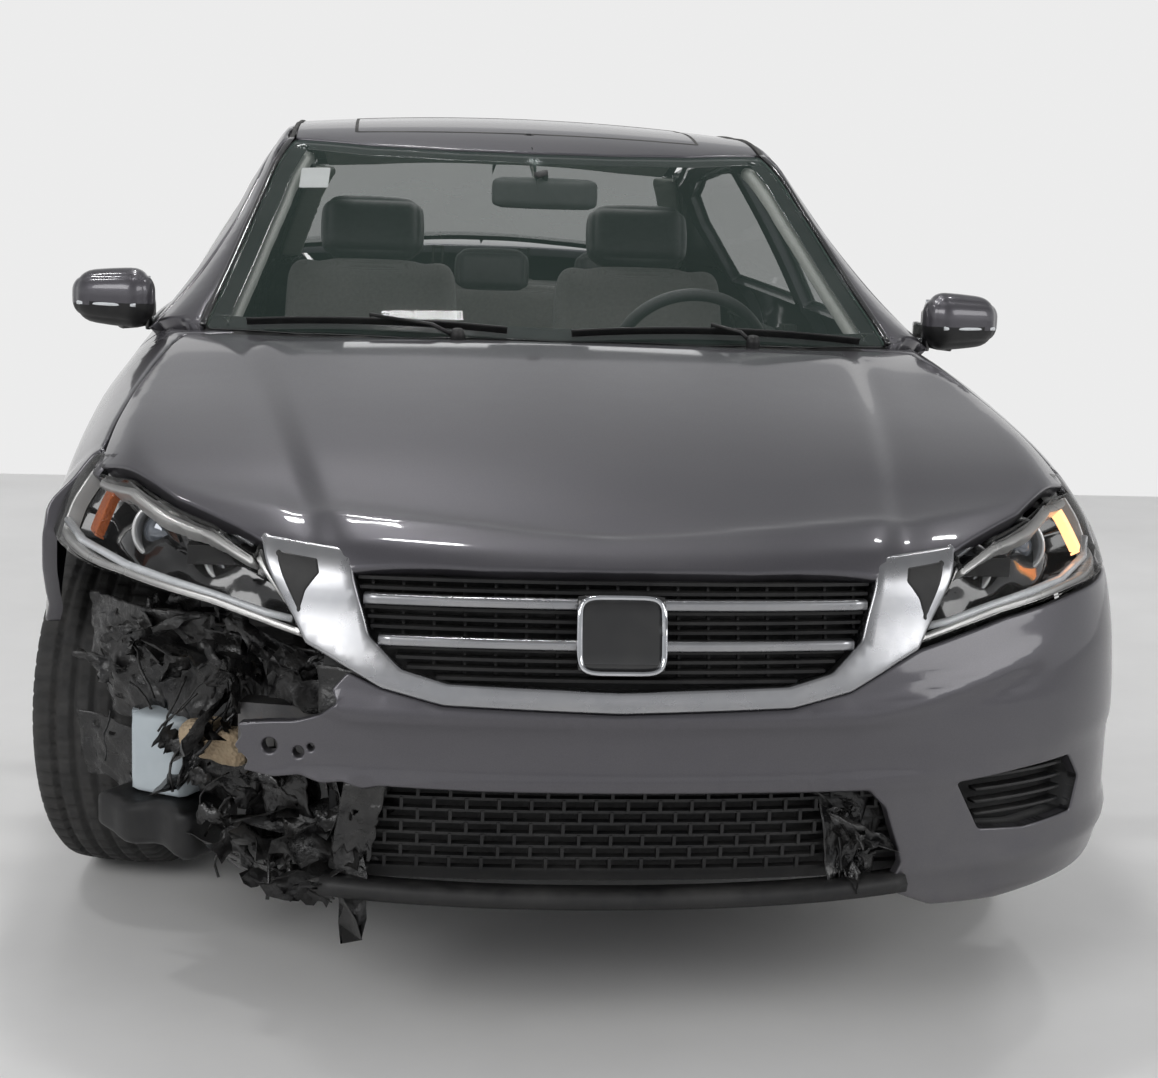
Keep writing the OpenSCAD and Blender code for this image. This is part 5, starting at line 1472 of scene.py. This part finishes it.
def on_shield(x, y, lift):
    q, n = Top(T_CABIN).put((x, y))
    return q + n * lift


def wiper(name, a, b, pivot):
    parts = []
    blade = [on_shield(a[0] + (b[0] - a[0]) * t, a[1] + (b[1] - a[1]) * t, 0.008)
             for t in np.linspace(0, 1, 22)]
    parts.append(sweep_arrays(blade, [(-0.002, -0.008), (0.002, -0.008), (0.005, 0.002), (0.009, 0.006),
                                      (-0.009, 0.006), (-0.005, 0.002)]))
    mid = blade[11]
    arm = [Vector(pivot), Vector(pivot) + (mid - Vector(pivot)) * 0.3 + Vector((0, 0, 0.016)),
           mid + Vector((0, 0, 0.012)), mid]
    parts.append(sweep_arrays(arm, round_rect(0.014, 0.007, 0.003)))
    parts.append(lathe_arrays([(0.0001, 0.018), (0.011, 0.016), (0.014, 0.006), (0.014, -0.02)], pivot,
                              (0, -0.3, 1), 20))
    add(new_mesh(name, *join_arrays(parts), M_BLACK))


wiper("wiper_left", (0.64, -1.132), (0.03, -1.222), (0.40, -1.225, 0.998))
wiper("wiper_right", (-0.10, -1.216), (-0.62, -1.128), (-0.20, -1.245, 0.997))
# black trim along the screen's side edges and the roof channels
for nm, pts, w, mat in (("pillar_trim_left", [(0.712, -1.108), (0.684, -0.95), (0.647, -0.740),
                                              (0.603, -0.490), (0.568, -0.345)], 0.012, M_GLOSS),
                        ("roof_channel_left", [(0.568, -0.345), (0.563, -0.20), (0.563, 0.30),
                                               (0.555, 0.80), (0.553, 1.012)], 0.010, M_RUBBER),
                        ("rear_pillar_trim_left", [(0.553, 1.016), (0.643, 1.352), (0.697, 1.682)], 0.008,
                         M_RUBBER)):
    path = []
    for a, b in zip(pts[:-1], pts[1:]):
        for t in np.linspace(0, 1, 10)[:-1]:
            path.append(Top(T_CABIN).put((a[0] + (b[0] - a[0]) * t, a[1] + (b[1] - a[1]) * t))[0])
    path.append(Top(T_CABIN).put(pts[-1])[0])
    pair(new_mesh(nm, *sweep_arrays(path, round_rect(w, 0.008, 0.003)), mat))
# belt mouldings
for tag, ys, dr in (("front", (-0.93, 0.175), "door_front_left"), ("rear", (0.215, 1.19), "door_rear_left")):
    path = [Side(1, T_ALL).put((y, 0.988 + 0.012 * max(0, (y - 0.1)) / 1.0))[0] + Vector((0.002, 0, 0))
            for y in np.linspace(*ys, 40)]
    o = new_mesh(f"belt_trim_{tag}_left", *sweep_arrays(path, round_rect(0.008, 0.016, 0.003)), M_SATIN)
    pair(o, dr)
    yh = 0.06 if tag == "front" else 1.05
    hp = [Side(1, T_BODY).put((y, 0.865 + 0.03 * (y - yh)))[0] + Vector((
        0.024 - 0.9 * (y - yh) ** 2, 0, 0)) for y in np.linspace(yh - 0.115, yh + 0.115, 18)]
    ends = [Side(1, T_BODY).put((yh - 0.125, 0.862))[0], Side(1, T_BODY).put((yh + 0.125, 0.868))[0]]
    o = new_mesh(f"handle_{tag}_left", *sweep_arrays([ends[0]] + hp + [ends[1]],
                                                     round_rect(0.014, 0.024, 0.006)), M_PAINT)
    pair(o, dr)
    y0, y1 = (0.137, 0.173) if tag == "front" else (0.194, 0.236)
    q = [(y0, 1.002), (y1, 1.002), (y1, 1.372), (y0, 1.372)]
    o = panel(f"pillar_gloss_a_{tag}_left", q, Side(1, T_CABIN, inset=-0.0015), M_GLOSS, depth=0.004,
              spacing=0.03,
              roll=0.001, corner=0.004)
    pair(o, dr)


# ---------------------------------------------------------------- wheels
def tyre_mesh():
    """Upright tyre about X at the origin with three grooves, shoulder blocks and sipes."""
    r_, w_ = 0.216, 0.1075
    prof = [(r_ + 0.001, -w_ + 0.012), (r_ + 0.010, -w_ + 0.003), (r_ + 0.030, -w_), (0.282, -w_ + 0.001),
            (0.300, -w_ + 0.003), (0.316, -w_ + 0.010), (0.326, -w_ + 0.020)]
    xs = np.linspace(-w_ + 0.026, w_ - 0.026, 33)
    for x in xs:
        g = 0.0
        for c in (-0.052, -0.018, 0.018, 0.052):
            if abs(x - c) < 0.0045:
                g = 0.0075
        crown_ = 0.334 - 0.0055 * (abs(x) / (w_ - 0.026)) ** 2.4
        prof.append((crown_ - g, x))
    prof += [(a, -b) for a, b in prof[6::-1]]
    seg = 360
    v, f = [], []
    m = len(prof)
    for k in range(seg):
        a = 2 * math.pi * k / seg
        for r, x in prof:
            rr = r
            ax = abs(x)
            if r > 0.318:
                if ax > 0.056 and k % 5 == 0:
                    rr -= 0.006
                if 0.022 < ax < 0.048 and (k + (3 if x > 0 else 0)) % 6 == 0:
                    rr -= 0.005
                if ax < 0.014 and (k + 2) % 6 == 0:
                    rr -= 0.0035
            elif 0.296 < r < 0.318 and k % 5 == 0:
                rr -= 0.004
            v.append((x, rr * math.cos(a), rr * math.sin(a)))
    for k in range(seg):
        j = (k + 1) % seg
        for i in range(m - 1):
            f.append([k * m + i, k * m + i + 1, j * m + i + 1, j * m + i])
    return v, f


def rim_mesh():
    """Ten twisted spokes in a stepped barrel, with a blank centre cap and wheel bolts."""
    parts = [lathe_arrays([(0.217, -0.100), (0.222, -0.103), (0.222, -0.096), (0.206, -0.088),
                           (0.196, -0.02), (0.196, 0.050), (0.206, 0.082), (0.214, 0.092), (0.222, 0.098),
                           (0.222, 0.102), (0.217, 0.104), (0.211, 0.099), (0.206, 0.090),
                           (0.196, 0.075)], (0, 0, 0), (1, 0, 0), 96)]
    for k in range(10):
        a = 2 * math.pi * k / 10
        c, s_ = math.cos(a), math.sin(a)
        path, n = [], 10
        for t in np.linspace(0, 1, n):
            r = 0.050 + (0.202 - 0.050) * t
            b = a + 0.10 * math.sin(t * math.pi) * (1 if k % 2 else -1)
            path.append(Vector((0.066 + 0.018 * t ** 1.5, r * math.cos(b), r * math.sin(b))))
        sec = round_rect(0.026, 0.020, 0.007)
        parts.append(sweep_arrays(path, sec, up=Vector((1, 0, 0))))
    parts.append(lathe_arrays([(0.078, 0.020), (0.078, 0.058), (0.070, 0.070), (0.040, 0.076),
                               (0.032, 0.074), (0.030, 0.079), (0.020, 0.081), (0.0001, 0.0815)],
                               (0, 0, 0), (1, 0, 0), 60))
    for k in range(5):
        a = 2 * math.pi * (k + 0.25) / 5
        parts.append(lathe_arrays([(0.008, 0.060), (0.008, 0.074), (0.006, 0.078), (0.0001, 0.078)],
                                  (0, 0.054 * math.cos(a), 0.054 * math.sin(a)), (1, 0, 0), 6))
    return join_arrays(parts)


def disc_mesh():
    return join_arrays([lathe_arrays([(0.075, 0.020), (0.158, 0.020), (0.160, 0.016), (0.160, -0.002),
                                      (0.158, -0.006), (0.075, -0.006)], (0, 0, 0), (1, 0, 0), 72)])


tv, tf = tyre_mesh()
rv, rf = rim_mesh()
dv, df = disc_mesh()
for tag in ("front_left", "front_right", "rear_left", "rear_right"):
    lo_, hi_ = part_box("tyre_" + tag)
    c = (Vector(lo_) + Vector(hi_)) / 2
    turn = math.radians(-12) if "front" in tag else 0.0
    sgn = 1 if "left" in tag else -1
    rot = Matrix.Rotation(turn, 3, "Z")
    flip = Matrix.Rotation(math.pi, 3, "Z") if sgn < 0 else Matrix.Identity(3)
    body = "wheel_" + tag
    m3 = rot @ flip
    o = new_mesh("tyre_tread_" + tag, place([Vector(p) for p in tv], c, m3), tf, M_TYRE)
    add(o, body, "tyre_" + tag, slot="tyre")
    o = new_mesh("rim_face_" + tag, place([Vector(p) for p in rv], c, m3), rf, M_RIM)
    add(o, body, "rim_" + tag, slot="rim")
    o = new_mesh("brake_disc_" + tag, place([Vector(p) for p in dv], c, m3), df, M_STEEL)
    add(o, body)


# ---------------------------------------------------------------- interior
def cushion(name, size, origin, tilt, mat, r=0.035, bulge=0.012, seams=(), body="root"):
    v, f = soft_box(size, r=r, cuts=16, bulge=bulge)
    sx, sy, sz = size
    out = []
    for p in v:
        q = Vector(p)
        for axis, at, depth_, wid in seams:
            d = (q[axis] - at) / wid
            q -= Vector((0, p.y, p.z)).normalized() * depth_ * math.exp(-d * d)
        out.append(q)
    o = new_mesh(name, place(out, origin, Matrix.Rotation(math.radians(tilt), 3, "X")), f, mat)
    subdivided(o)
    add(o, body)
    return o


for s_, tag in ((1, "left"), (-1, "right")):
    x = 0.375 * s_
    seat = cushion(f"seat_cushion_{tag}", (0.49, 0.52, 0.15), (x, 0.0, 0.425), 4, M_CLOTH,
                   seams=((0, 0.15, 0.012, 0.014), (0, -0.15, 0.012, 0.014), (1, -0.02, 0.010, 0.012)))
    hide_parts("seats")
    cushion(f"seat_back_{tag}", (0.46, 0.115, 0.60), (x, 0.325, 0.775), -22, M_CLOTH,
            seams=((0, 0.14, 0.012, 0.014), (0, -0.14, 0.012, 0.014), (2, 0.02, 0.008, 0.012)))
    cushion(f"headrest_{tag}", (0.27, 0.095, 0.165), (x, 0.472, 1.155), -18, M_LEATHER, r=0.040, bulge=0.010)
    parts = [sweep_arrays([(x + dx, 0.432, 1.00), (x + dx, 0.462, 1.10)], ring_section(0.0065, 14))
             for dx in (-0.06, 0.06)]
    add(new_mesh(f"headrest_posts_{tag}", *join_arrays(parts), M_CHROME))
cushion("rear_bench", (1.26, 0.46, 0.15), (0, 0.835, 0.425), 3, M_CLOTH, seams=((0, 0.30, 0.012, 0.014),
        (0, -0.30, 0.012, 0.014)))
cushion("rear_backrest", (1.26, 0.11, 0.54), (0, 1.045, 0.700), -15, M_CLOTH,
        seams=((0, 0.22, 0.012, 0.014), (0, -0.22, 0.012, 0.014)))
for x in (-0.38, 0, 0.38):
    cushion(f"rear_headrest_{'r' if x < 0 else 'l' if x > 0 else 'c'}", (0.22, 0.075, 0.13),
            (x, 1.098, 1.015), -8, M_LEATHER, r=0.032, bulge=0.008)
# dashboard: padded top, instrument hood, vents and centre stack
DP = [(-1.118, 0.905), (-1.06, 0.938), (-0.95, 0.941), (-0.85, 0.925), (-0.800, 0.898), (-0.780, 0.860),
      (-0.800, 0.800), (-0.815, 0.735), (-0.885, 0.645), (-0.96, 0.603), (-1.04, 0.615), (-1.045, 0.72),
      (-1.118, 0.725)]
xs = np.linspace(-0.733, 0.733, 60)
v, f = [], []
for x in xs:
    hood_ = 0.030 * math.exp(-((x - 0.37) / 0.16) ** 4)
    mid = 0.016 * math.exp(-(x / 0.18) ** 4)
    for k, (y, z) in enumerate(DP):
        back_ = (hood_ + mid) if 3 <= k <= 7 else 0.0
        bend = 0.06 * (x / 0.733) ** 2 if k in (0, 1) else 0.0
        v.append((x, min(y + back_ * 0.5 + bend * 0.4, -0.772), z))
m = len(DP)
for i in range(len(xs) - 1):
    for k in range(m):
        l = (k + 1) % m
        f.append([i * m + k, i * m + l, (i + 1) * m + l, (i + 1) * m + k])
f.append(list(range(m)))
f.append([(len(xs) - 1) * m + k for k in range(m)][::-1])
dash = new_mesh("dash_pad", v, f, M_TRIM)
subdivided(dash)
add(dash, "root", "dashboard", slot="trim")
parts = []
for x in (-0.60, -0.11, 0.11, 0.62):
    for k in range(5):
        z = 0.835 + 0.011 * k
        parts.append(sweep_arrays([(x - 0.055, -0.776, z), (x + 0.055, -0.776, z)],
                                  round_rect(0.012, 0.003, 0.001)))
    parts.append(sweep_arrays([(x - 0.062, -0.774, 0.825), (x + 0.062, -0.774, 0.825),
                               (x + 0.062, -0.774, 0.892), (x - 0.062, -0.774, 0.892)],
                               round_rect(0.006, 0.010, 0.002), up=Vector((0, 1, 0)), closed=True))
add(new_mesh("dash_vents", *join_arrays(parts), M_SATIN))
v, f = soft_box((0.235, 0.30, 0.155), r=0.02, cuts=10)
add(new_mesh("centre_stack", place(v, (0, -0.875, 0.665), Matrix.Rotation(math.radians(-18), 3, "X")), f,
             M_TRIM))
v, f = soft_box((0.225, 0.80, 0.15), r=0.03, cuts=12, bulge=0.004)
add(new_mesh("centre_console", place(v, (0, -0.43, 0.482)), f, M_TRIM))
add(lathe("gear_knob", [(0.008, -0.08), (0.008, 0.0), (0.018, 0.006), (0.024, 0.022), (0.022, 0.040),
                        (0.012, 0.050), (0.0001, 0.052)], (0.0, -0.52, 0.640), (0, 0.1, 1), M_LEATHER, 28))
# steering wheel cover in place of the plain rim
sc = Vector((0.370, -0.600, 0.900))
sax = Vector((0, 0.9135, 0.4067))
sx_, sy_, sz_ = basis(sax)
parts = []
path = [sc + (sx_ * math.cos(a) + sy_ * math.sin(a)) * 0.178
        for a in np.linspace(0, 2 * math.pi, 72, endpoint=False)]
nrm_up = [sz_] * 72
parts.append(sweep_arrays(path, ring_section(0.0145, 14), up=nrm_up, closed=True))
spin = math.radians(13.5 * 12)
for a in (0.0, math.pi, -math.pi / 2):
    b = a + spin
    d = sx_ * math.cos(b) + sy_ * math.sin(b)
    p = [sc + d * t - sz_ * 0.030 * (1 - t / 0.178) for t in np.linspace(0.04, 0.17, 7)]
    parts.append(sweep_arrays(p, round_rect(0.036, 0.013, 0.005), up=sz_))
parts.append(lathe_arrays([(0.0001, 0.012), (0.040, 0.010), (0.062, 0.0), (0.066, -0.014), (0.050, -0.040),
                           (0.030, -0.055)], sc - sz_ * 0.02, sax, 40))
add(new_mesh("steering_wheel_cover", *join_arrays(parts), M_LEATHER), "steering_wheel", "steering_wheel",
    slot="leather")
# interior mirror, pillar linings and headliner
v, f = soft_box((0.245, 0.035, 0.068), r=0.016, cuts=12, bulge=0.002)
add(new_mesh("inner_mirror_shell", place(v, (0.023, -0.548, 1.278), Matrix.Rotation(
    math.radians(6), 3, "Z")), f, M_TRIM), "root", "interior_mirror")
g, gf = soft_box((0.225, 0.003, 0.055), r=0.0014, cuts=6)
add(new_mesh("inner_mirror_glass", place(g, (0.023, -0.5295, 1.278), Matrix.Rotation(
    math.radians(6), 3, "Z")), gf, M_MIRROR))
add(new_mesh("inner_mirror_stalk", *sweep_arrays([(0.023, -0.550, 1.30), (0.02, -0.56, 1.325),
                                                  (0.0, -0.575, 1.318)], ring_section(0.009, 12)), M_TRIM))
INNER = Top(T_CABIN, inset=0.030)
hl = [(0, -0.42), (0.19, -0.41), (0.38, -0.38), (0.53, -0.32), (0.53, 0.30), (0.525, 0.80), (0.52, 0.99),
      (0.38, 1.03), (0, 1.06)]
o = panel("headliner", whole([(x * 1000, y * 1000) for x, y in hl]), INNER, M_PALE, depth=0.004,
          spacing=0.04, roll=0.0)
add(o)
for nm, pts in (("a_pillar_lining_left", [(0.700, -1.08), (0.668, -0.90), (0.636, -0.72), (0.594, -0.50),
                                          (0.556, -0.36)]),
                ("c_pillar_lining_left", [(0.545, 1.03), (0.585, 1.19), (0.628, 1.35), (0.660, 1.52),
                                          (0.680, 1.66)])):
    path = []
    for a, b in zip(pts[:-1], pts[1:]):
        for t in np.linspace(0, 1, 8)[:-1]:
            q, n = Top(T_CABIN).put((a[0] + (b[0] - a[0]) * t, a[1] + (b[1] - a[1]) * t))
            path.append(q - n * 0.034 + Vector((-0.012, 0, 0)))
    pair(new_mesh(nm, *sweep_arrays(path, round_rect(0.070, 0.028, 0.010, 4)), M_PALE))
# door linings
for tag, ol in (("front", [(-0.93, 0.36), (0.16, 0.36), (0.165, 0.965), (-0.90, 0.965)]),
                ("rear", [(0.225, 0.36), (0.87, 0.36), (0.99, 0.56), (1.16, 0.76), (1.20, 0.965),
                          (0.225, 0.965)])):
    def lining(q):
        return 0.010 * math.exp(-((q.z - 0.70) / 0.05) ** 2) - 0.006 * math.exp(-((q.z - 0.55) / 0.05) ** 2)
    o = panel(f"door_lining_{tag}_left", ol, Side(1, T_BODY, inset=0.098), M_TRIM, depth=0.010,
              spacing=0.035, push=lambda q: -lining(q), corner=0.03)
    pair(o, f"door_{tag}_left")

# ---------------------------------------------------------------- tail
def rf(pts):
    return [rear_flat(x / 1000, z / 1000) for x, z in pts]


tail = rf([(0, 692), (300, 694), (565, 704), (700, 690), (820, 688)])
tail += [side_flat(TAIL, 2.02, 0.690), side_flat(TAIL, 1.90, 0.684), side_flat(TAIL, 1.706, 0.652),
         side_flat(TAIL, 1.668, 0.500)]
tail += [side_flat(TAIL, y, z) for y, z in arc(1.306, 26, -8, steps=6)]
tail += [side_flat(TAIL, 1.70, 0.226), side_flat(TAIL, 1.90, 0.222)]
tail += rf([(820, 222), (600, 218), (300, 215), (0, 215)])
rear_out = tail + [(-a, b) for a, b in tail[::-1] if a > 1e-6]


def tail_form(q):
    k = 1.0 if q.y > 2.05 else 0.4
    return k * (0.008 * math.exp(-((q.z - 0.60) / 0.016) ** 2)
                - 0.006 * math.exp(-((q.z - 0.40) / 0.03) ** 2)
                + 0.006 * math.exp(-((q.z - 0.33) / 0.012) ** 2))


add(panel("rear_cover", rear_out, TAIL, M_COVER, depth=0.02, spacing=0.018, push=tail_form), "root",
    "rear_bumper", slot="bumper_paint")
low = rf([(0, 320), (300, 320), (560, 312), (600, 262), (300, 240), (0, 238)])
add(panel("rear_valance", low + [(-a, b) for a, b in low[::-1] if a > 1e-6], Round(1.75, 1, inset=-0.006),
          M_BLACK, depth=0.012, spacing=0.02))
tlp = rf([(572, 712), (700, 698), (815, 697)]) + [side_flat(TAIL, 2.061, 0.708),
                                                  side_flat(TAIL, 2.061, 0.962),
                                                  side_flat(TAIL, 2.097, 0.984)]
tlp += [TAIL.flat(x, y, top_z(x, y, T_BODY))
        for x, y in ((0.672, 2.100), (0.655, 2.160))] + rf([(635, 1010), (594, 938), (592, 800)])
tlens = panel("tail_lamp_left", tlp, TAIL, M_RED, depth=0.012, spacing=0.014, roll=0.004)
pair(tlens, "root", "tail_lamps", slot="tail_lamp")
inner_ = panel("tail_lamp_back_left", shrink(tlp, 0.004), Round(1.75, 1, inset=0.028), M_REFLECT,
               depth=-0.018, spacing=0.02, roll=0.0)
pair(inner_)
clr = rf([(612, 812), (700, 808), (815, 805), (815, 846), (700, 850), (612, 852)])
c_ = panel("tail_lamp_strip_left", clr, Round(1.75, 1, inset=-0.001), M_LED, depth=0.004, spacing=0.014,
           corner=0.008)
pair(c_)
y0, n0 = tail_y(0.0, 0.80)
v, f = soft_box((0.52, 0.008, 0.115), r=0.0035, cuts=8)
tilt_ = Matrix.Rotation(-math.asin(max(-1, min(1, n0.z))), 3, "X")
add(new_mesh("blank_plate_rear", place(v, (0, y0 + 0.004, 0.80), tilt_), f, M_PLATE), "trunk_lid")
path = [(x, tail_y(x, 0.885)[0] + 0.006, 0.885) for x in np.linspace(-0.36, 0.36, 30)]
add(new_mesh("trunk_trim", *sweep_arrays(path, round_rect(0.016, 0.026, 0.006)), M_SURR), "trunk_lid")
for sx in (1, -1):
    o = lathe("exhaust_tip_" + ("left" if sx > 0 else "right"), [(0.030, -0.16), (0.030, -0.02),
            (0.036, 0.0), (0.039, 0.012), (0.037, 0.016), (0.033, 0.012), (0.031, -0.01), (0.031, -0.15)],
            (0.30 * sx, 2.375, 0.262), (0, 1, 0), M_CHROME, 40)
    add(o)
# sunroof panel line and aerial fin
sr = band("sunroof_seal", [(-0.42, -0.30), (0.42, -0.30), (0.42, 0.16), (-0.42, 0.16)], 0.008,
          Top(T_CABIN, inset=-0.0008), M_RUBBER, depth=0.002, spacing=0.05)
add(sr)
fin_v, fin_f = [], []
for i, t in enumerate(np.linspace(0, 1, 14)):
    y = 0.86 + 0.15 * t
    h = 0.055 * (t ** 0.7) * (1 - max(0, t - 0.86) / 0.28)
    zb = Top(T_CABIN).put((0, y))[0].z - 0.002
    for k in range(8):
        a = math.pi * k / 7
        fin_v.append((0.022 * math.cos(a) * (1 - 0.3 * t), y,
                      zb + h * math.sin(a) ** 0.8 if 0 < k < 7 else zb))
for i in range(13):
    for k in range(7):
        fin_f.append([i * 8 + k, i * 8 + k + 1, (i + 1) * 8 + k + 1, (i + 1) * 8 + k])
add(new_mesh("aerial_fin", fin_v, fin_f, M_PAINT))

# ---------------------------------------------------------------- stage, camera, lights
def stage_plane(name, verts, mat):
    o = new_mesh(name, verts, [[0, 1, 2, 3]], mat, smooth=False)
    return o


M_FLOOR = surface("floor", (0.86, 0.855, 0.845), (0.80, 0.795, 0.785), scale=2.2, rough=(0.30, 0.42),
                  spec=0.4)
M_WALL = surface("wall", (0.80, 0.80, 0.80), (0.78, 0.78, 0.78), scale=0.8, rough=(0.85, 0.95))


OTHER_RAYS = 0.5


def backdrop(m, strength):
    """The wall shows an even white to the camera and in reflections, and half of it to any other ray."""
    t = m.node_tree
    out = next(n for n in t.nodes if n.type == "OUTPUT_MATERIAL")
    bsdf = next(n for n in t.nodes if n.type == "BSDF_PRINCIPLED")
    lp = t.nodes.new("ShaderNodeLightPath")
    e = t.nodes.new("ShaderNodeEmission")
    e.inputs[0].default_value = (strength, strength, strength, 1)
    share = None
    for ray in ("Is Camera Ray", "Is Glossy Ray", "Is Transmission Ray"):
        x = t.nodes.new("ShaderNodeMath")
        x.operation = "MAXIMUM"
        _link(t, lp.outputs[ray], x.inputs[0])
        if share:
            _link(t, share, x.inputs[1])
        else:
            x.inputs[1].default_value = OTHER_RAYS
        share = x.outputs[0]
    mx = t.nodes.new("ShaderNodeMixShader")
    _link(t, share, mx.inputs[0])
    _link(t, bsdf.outputs[0], mx.inputs[1])
    _link(t, e.outputs[0], mx.inputs[2])
    _link(t, mx.outputs[0], out.inputs[0])


backdrop(M_WALL, 0.84)
S, WALL_Y, WALL_TOP, WHITE_Y, LIFT = 30, 9, 4.6, 3.22, 0.002
stage_plane("floor_plane", [(-S, -S, 0), (S, -S, 0), (S, S, 0), (-S, S, 0)], M_FLOOR)
stage_plane("back_wall", [(-S, WALL_Y, 0), (S, WALL_Y, 0), (S, WALL_Y, WALL_TOP), (-S, WALL_Y, WALL_TOP)], M_WALL)
# the floor turns white behind the car
stage_plane("white_floor", [(-S, WHITE_Y, LIFT), (S, WHITE_Y, LIFT), (S, WALL_Y, LIFT), (-S, WALL_Y, LIFT)], M_WALL)

# the camera as fitted to the photograph: place in metres, angles in radians, focal length in picture widths
EYE = (-0.363, -5.160, 1.320)
SENSOR, FOCAL = 36, 1962 / 1158
cam_data = bpy.data.cameras.new("camera")
cam_data.sensor_width = SENSOR
cam_data.lens = FOCAL * SENSOR
cam = bpy.data.objects.new("camera", cam_data)
scene.collection.objects.link(cam)
yaw, pitch, roll = 0.107, 0.1826, 0.0366
F = Vector((math.sin(yaw) * math.cos(pitch), math.cos(yaw) * math.cos(pitch), -math.sin(pitch)))
R = Vector((math.cos(yaw), -math.sin(yaw), 0))
U = R.cross(F)
R2 = R * math.cos(roll) + U * math.sin(roll)
U2 = -R * math.sin(roll) + U * math.cos(roll)
cam.matrix_world = Matrix([(R2[k], U2[k], -F[k], EYE[k]) for k in range(3)] + [(0, 0, 0, 1)])
scene.camera = cam


def lamp(name, where, aim, size, power, color=(1, 1, 1)):
    d = bpy.data.lights.new(name, "AREA")
    d.shape = "RECTANGLE"
    d.size, d.size_y = size
    d.energy = power
    d.color = color
    o = bpy.data.objects.new(name, d)
    scene.collection.objects.link(o)
    o.location = where
    o.rotation_euler = (Vector(aim) - Vector(where)).to_track_quat("-Z", "Y").to_euler()


lamp("key", (-5.0, -7.5, 5.0), (0, -1.6, 0.5), (5.0, 3.0), 260)
lamp("fill", (6.5, -6.0, 4.0), (0, -1.4, 0.5), (5.0, 3.0), 170)
lamp("cabin_front", (0, -0.30, 1.316), (0, -0.30, 0), (0.9, 0.25), 1.6)
lamp("cabin_rear", (0, 0.62, 1.316), (0, 0.62, 0), (0.9, 0.35), 1.6)
for k, (x, y) in enumerate(((-0.45, 1.6), (-0.55, 0.4), (-0.25, -1.1), (-3.2, -0.6), (2.6, -0.2))):
    lamp(f"ceiling_{k}", (x, y, 5.2), (x, y, 0), (0.55, 0.25), 26)

world = bpy.data.worlds.new("world")
scene.world = world
world.use_nodes = True
wt = world.node_tree
bg = wt.nodes["Background"]
wc = wt.nodes.new("ShaderNodeTexCoord")
ws_ = wt.nodes.new("ShaderNodeSeparateXYZ")
wr = wt.nodes.new("ShaderNodeMapRange")
wr.inputs["From Min"].default_value = 0.0
wr.inputs["From Max"].default_value = 0.55
wr.inputs["To Min"].default_value = 0.86
wr.inputs["To Max"].default_value = 0.33
wt.links.new(wc.outputs["Generated"], ws_.inputs[0])
wt.links.new(ws_.outputs["Z"], wr.inputs["Value"])
wt.links.new(wr.outputs[0], bg.inputs[1])
bg.inputs[0].default_value = (0.97, 0.98, 1.0, 1)
scene.view_settings.view_transform = "Standard"
